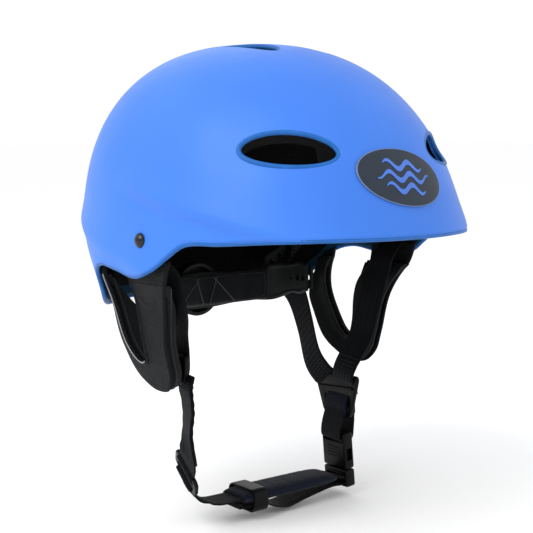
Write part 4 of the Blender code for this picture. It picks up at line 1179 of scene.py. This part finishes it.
def add_sleeve():
    bm = bmesh.new()
    around, along = 40, 60
    bmesh.ops.create_grid(bm, x_segments=around, y_segments=along, size=1.0)
    for vert in bm.verts:
        angle = (vert.co.x + 1) * math.pi
        v = vert.co.y
        y, z = sleeve_section(angle)
        full = 0.42 + 0.58 * max(0.0, 1 - abs(v) ** 5) ** 0.5
        crease = 1.0 - 0.05 * math.exp(-((math.sin(v * 9.5) / 0.25) ** 2))
        vert.co = Vector((11 + 40 * v, -5 + y * (0.93 + 0.07 * full), -178.6 + z * full * crease)) * MM
    bmesh.ops.remove_doubles(bm, verts=bm.verts, dist=0.00005)
    mesh = mesh_from(bm, "chin_sleeve")
    sleeve = place_piece("chin_sleeve", mesh, NAVY_CLOTH, "chin_cover", "chin_pad", ("chin_pad",), angle=70)
    add_wall(sleeve, 1.6 * MM)
    for number, side in enumerate((-1, 1)):
        line = [Vector((11 + 39 * t / 30, -5 + side * 12.1, -178.6)) * MM for t in range(-30, 31)]
        tube("sleeve_seam_%d" % number, line, 0.4 * MM, THREAD, "chin_cover", "chin_pad")


add_sleeve()
KEEPER_LOOP = rounded_loop(((-14.2, -187.6), (14.2, -187.6), (14.2, -173.4), (-14.2, -173.4)), 5.5, 6)
keeper_path = [(-17, -5 + y, z) for y, z in KEEPER_LOOP[3:] + KEEPER_LOOP[:4]]
ribbon("keeper_loop", keeper_path, ((1, 0, 0),) * len(keeper_path), 11 * MM, 1.3 * MM, 160, "buckle_plastic",
       "keeper", ("keeper",), ACETAL, 8)

# ---- adjuster ring and its webbing
ring_outer = rounded_loop(((-15, -7.5), (15, -7.5), (15, 7.5), (-15, 7.5)), 4.0)
ring_slots = []
for low, high in ((-5.2, -1.4), (1.4, 5.2)):
    ring_slots.append(rounded_loop(((-11, low), (11, low), (11, high), (-11, high)), 1.2, 3))
plate("ring_body", [ring_outer] + ring_slots, 2.6 * MM, ring_frame, ACETAL, "buckle_plastic",
      replaces=("adjuster_ring",), rounding=0.6)
ring_top = (by_ring(0, -9.6), by_ring(0, -7.4, -2.4), by_ring(0, -3.4, -1.2), by_ring(0, 0, 2.2),
            by_ring(0, 3.4, 0.5), by_ring(0, 6.2, -2.6), by_ring(0, 9.0, -1.6))
ribbon("ring_wrap", ring_top, ((0, -0.75, -0.66),) * 7, WEB - 1 * MM, 1.2 * MM, 60)
RING_WEB = (by_ring(0, 8.2, -1.4), (-58.1, 0, -171.9), (-53.0, -3.8, -176.4))
RING_WEB_ACROSS = ((0, 0.75, 0.66), (0, 0.9, 0.35), (0, 1, 0.0))
ribbon("ring_web_strip", RING_WEB, RING_WEB_ACROSS, WEB - 1 * MM, 1.4 * MM, 50, replaces=("ring_web",))

# ---- rear retention
ARM = ((90.8, 64.5, -7), (87.5, 64, -13), (77, 62, -24), (66, 55, -35), (61, 42, -42), (61, 30, -43),
       (61, 22, -43))
ARM_ACROSS = ((0, 0.3, 1), (0, 0.3, 1), (0.3, 0.1, 1), (0.2, 0, 1), (0, 0, 1), (0, 0, 1), (0, 0, 1))
ARM_SIZE = (16 * MM, 2.0 * MM, 70)
ARM_HOLES = ((0.36, 2.0), (0.50, 2.0))
ARM_PIN_HOLES = (26.0, 33.0, 40.0)
WING = ((84, 63, -14), (74, 62.5, -23), (62, 63.5, -32), (51, 66, -39))
WING_ACROSS = ((0.3, 0.2, 1), (0.35, 0.1, 1), (0.3, 0.1, 1), (0.2, 0, 1))
WING_SIZE = (17 * MM, 2.0 * MM, 60)
WING_HOLES = ((0.18, 2.0), (0.38, 3.0), (0.60, 2.2), (0.80, 2.2))
CRADLE_PIN_HOLES = (27.5, 34.0, 40.5)
LONG_HOLE = (1.35, 1.0, 1.0)


def pin_holes(x, z, radius, depth, heights):
    """A row of round holes through a strip that stands across X."""
    places = [frame_matrix((x * MM, y * MM, z * MM), (0, 1, 0), (1, 0, 0)) for y in heights]
    return [cylinder_bmesh(radius * MM, depth * MM, place, 24) for place in places]


def path_holes(path, lean, holes, sides, turned_to=None):
    """Holes square to a strip, turned along it or to a given way; the widest ones are drawn out."""
    made = []
    for along, radius in holes:
        centre = path_point(path, along) * MM
        ahead = path_point(path, along + 0.01) - path_point(path, along - 0.01)
        place = frame_matrix(centre, turned_to or ahead, ahead.cross(path_point(lean, along)))
        made.append(cylinder_bmesh(radius * MM, 12 * MM, place, sides, LONG_HOLE if radius > 2.5 else None))
    return made


def add_strip(name, path, lean, size, sign, node=()):
    """A nylon strip on one side of the helmet, with its path and lean on that side."""
    path = on_side(path, sign)
    lean = on_side(lean, sign)
    strip = ribbon(name, path, lean, *size, "cradle_plastic", "helmet", node, NYLON, 14)
    return strip, path, lean


for side, sign in (("right", -1), ("left", 1)):
    arm, path, lean = add_strip("arm_body_" + side, ARM, ARM_ACROSS, ARM_SIZE, sign, ("fit_arm_" + side,))
    pins = pin_holes(61 * sign, -43, 2.2, 12, ARM_PIN_HOLES)
    cut_with(arm, pins + path_holes(path, lean, ARM_HOLES, 24, (0, 0, 1)))

for side, sign in (("right", -1), ("left", 1)):
    wing, path, lean = add_strip("arm_wing_" + side, WING, WING_ACROSS, WING_SIZE, sign)
    cut_with(wing, path_holes(path, lean, WING_HOLES, 28))

CRADLE = ((-57.9, 24, -43), (-57.9, 38, -44), (-53, 55, -48), (-36, 67.5, -51), (0, 72, -52),
          (36, 67.5, -51), (53, 55, -48), (57.9, 38, -44), (57.9, 24, -43))


def cradle_ribs(u, v):
    """Two raised cross ribs on each side and thin border beads."""
    cross = sum(math.exp(-(((abs(v) - at) / 0.012) ** 2)) for at in (0.28, 0.42))
    border = math.exp(-(((abs(u) - 0.88) / 0.05) ** 2))
    return (0.9 * min(1.0, cross) * smooth((0.95 - abs(u)) / 0.1) + 0.5 * border) * MM


def cradle_edges(v):
    """The band's scalloped edges, drawn in towards its two ends."""
    return (1.1 * math.cos(v * 13.0) - 1.1 - 3.5 * smooth((abs(v) - 0.82) / 0.18)) * MM


band = ribbon("cradle_band", CRADLE, ((0, 0, 1),) * 9, 26 * MM, 2.4 * MM, 240, "cradle_plastic", "cradle",
              ("cradle",), NYLON, 26, cradle_ribs, cradle_edges)
cut_with(band, [hole for x in (57.9, -57.9) for hole in pin_holes(x, -43.3, 2.1, 8, CRADLE_PIN_HOLES)])
CRADLE_PAD = ((-47, 55, -49), (-33, 64, -51), (0, 68.2, -52), (33, 64, -51), (47, 55, -49))


def cradle_surface(u, v):
    along = (u + 1) / 2
    place = path_point(CRADLE_PAD, along) * MM
    ahead = path_point(CRADLE_PAD, min(1.0, along + 0.01)) - path_point(CRADLE_PAD, max(0.0, along - 0.01))
    normal = Vector((-ahead.y, ahead.x, 0.0)).normalized()
    return place + normal * 1.8 * MM + Vector((0, 0, v * 11 * MM)), normal


add_pad("cradle_cushion", "cradle_pad", cradle_surface, 90, 22, 4.0 * MM, 4, "cradle_foam", "cradle")

for number, (start, end) in enumerate(((-0.13, -0.04), (0.09, 0.34), (0.13, 0.04), (-0.09, -0.34))):
    welt = []
    for step in range(25):
        here, normal = cradle_surface(start + (end - start) * step / 24, 0.86 - 1.72 * step / 24)
        welt.append(here - normal * 3.9 * MM)
    tube("cradle_welt_%d" % number, welt, 0.55 * MM, WELT, "cradle_foam", "cradle")

dial_place = frame_matrix((0.0, CRADLE_REAR_Y, CRADLE_Z), (1, 0, 0), (0, 1, 0))
HOUSING = ((4.6, 11.8), (4.6, 14.0), (17, 14.0), (18.4, 13.6), (19, 12.6), (19, 4.4), (18.6, 4.0),
           (16.5, 4.0), (16.5, 11.8), (4.6, 11.8))
housing = turned("housing_body", HOUSING, dial_place, NYLON, "cradle_plastic", "cradle",
                 ("dial_housing",), 64)
ways = []
for z in (8.0, -8.0):
    place = Matrix.Translation((0.0, CRADLE_REAR_Y + 7.8 * MM, CRADLE_Z + z * MM))
    ways.append(box_bmesh((60 * MM, 5 * MM, 6.4 * MM), place))
cut_with(housing, ways)
KNOB = ((0, 23.5), (12.2, 23.5), (12.6, 23.1), (13.5, 23.4), (14.6, 23.0), (15.5, 22.0), (15.9, 19.5),
        (16, 15.2), (15.6, 14.6), (4.0, 14.6), (4.0, 10.4), (0, 10.4))
knob = turned("knob_body", KNOB, dial_place, DIAL_GRIP, "dial_rubber", "dial", ("dial_knob",), 96)
flutes = []
for number in range(12):
    turn = Matrix.Rotation(2 * math.pi * number / 12, 4, "Y")
    spot = Matrix.Translation((0.0, CRADLE_REAR_Y + 20 * MM, CRADLE_Z)) @ turn
    place = spot @ Matrix.Translation((0.0, 0.0, 17.2 * MM)) @ Matrix.Rotation(math.pi / 2, 4, "X")
    flutes.append(cylinder_bmesh(2.4 * MM, 16 * MM, place, 20))
cut_with(knob, flutes)

GEAR_PITCH = 2 * math.pi * 6.0 / 12
gear_place = frame_matrix((0.0, CRADLE_REAR_Y + 7.8 * MM, CRADLE_Z), (1, 0, 0), (0, -1, 0))
pinion_loop = []
for tooth in range(12):
    middle = 2 * math.pi * tooth / 12 + math.pi / 2
    for radius, half_width in ((5.0, 1.0), (6.8, 0.4), (6.8, -0.4), (5.0, -1.0)):
        angle = middle - half_width / radius
        pinion_loop.append((radius * math.cos(angle), radius * math.sin(angle)))
plate("pinion_gear", [pinion_loop], 4.0 * MM, gear_place, NYLON, "cradle_plastic", "dial", ("pinion",), 0.15)
rack_loop = [(-40.0, 10.6), (-40.0, 7.4)]
for tooth in range(-5, 2):
    middle = (tooth + 0.5) * GEAR_PITCH
    rack_loop += [(middle - 0.95, 7.4), (middle - 0.35, 5.3), (middle + 0.35, 5.3), (middle + 0.95, 7.4)]
rack_loop += [(6.5, 7.4), (6.5, 10.6)]
for side, turn in (("right", 0.0), ("left", math.pi)):
    place = Matrix.Translation((0.0, CRADLE_REAR_Y + 7.8 * MM, CRADLE_Z)) @ Matrix.Rotation(turn, 4, "Y")
    place = place @ frame_matrix((0, 0, 0), (1, 0, 0), (0, -1, 0))
    plate("rack_strip_" + side, [rack_loop], 4.0 * MM, place, NYLON, "cradle_plastic", "rack_" + side,
          ("rack_" + side,), 0.15)


# ---- stage, light and camera
def add_stage():
    bm = bmesh.new()
    bmesh.ops.create_grid(bm, x_segments=1, y_segments=1, size=60.0)
    bm.transform(Matrix.Translation((0.0, 0.0, cad_low[2] - 0.006)))
    mesh = bpy.data.meshes.new("floor")
    bm.to_mesh(mesh)
    bm.free()
    floor = linked("floor", mesh)
    n = Nodes("pale_floor", 0.9)
    n.shader.inputs["Base Color"].default_value = (0.96, 0.96, 0.96, 1.0)
    n.shader.inputs["Specular IOR Level"].default_value = 0.1
    mesh.materials.append(n.mat)
    floor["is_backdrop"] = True


def aimed(place, aim):
    """A placement at place whose -Z looks at aim."""
    direction = Vector(aim) - Vector(place)
    return Matrix.Translation(place) @ direction.to_track_quat("-Z", "Y").to_matrix().to_4x4()


def add_light(name, place, aim, size, power):
    data = bpy.data.lights.new(name, "AREA")
    data.shape = "DISK"
    data.size = size
    data.energy = power
    linked(name, data).matrix_world = aimed(place, aim)


add_stage()
world = bpy.data.worlds.new("studio")
bpy.context.scene.world = world
world.use_nodes = True
world.node_tree.nodes["Background"].inputs["Color"].default_value = (1.0, 1.0, 1.0, 1.0)
world.node_tree.nodes["Background"].inputs["Strength"].default_value = 1.03
add_light("key", (-1.25, -0.15, 1.15), (0.0, 0.0, 0.0), 1.2, 17.0)
add_light("fill", (0.9, -1.5, 0.5), (0.0, 0.0, -0.02), 1.2, 1.0)
add_light("rim", (0.6, 1.4, 1.0), (0.0, 0.0, 0.0), 1.0, 1.0)

camera_data = bpy.data.cameras.new("camera")
camera_data.lens = 78.9
camera_data.sensor_width = 36.0
camera_data.shift_x = 0.005
camera_data.shift_y = -0.047
camera_data.clip_start = 0.01
camera = linked("camera", camera_data)
target = Vector((0.0, 0.0, -0.012))
azimuth = math.radians(-38.0)
elevation = math.radians(5.09)
level = math.cos(elevation)
away = Vector((math.sin(azimuth) * level, -math.cos(azimuth) * level, math.sin(elevation)))
camera.matrix_world = aimed(target + away * 0.776, target)
bpy.context.scene.camera = camera
bpy.context.scene.view_settings.view_transform = "Standard"

low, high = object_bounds()
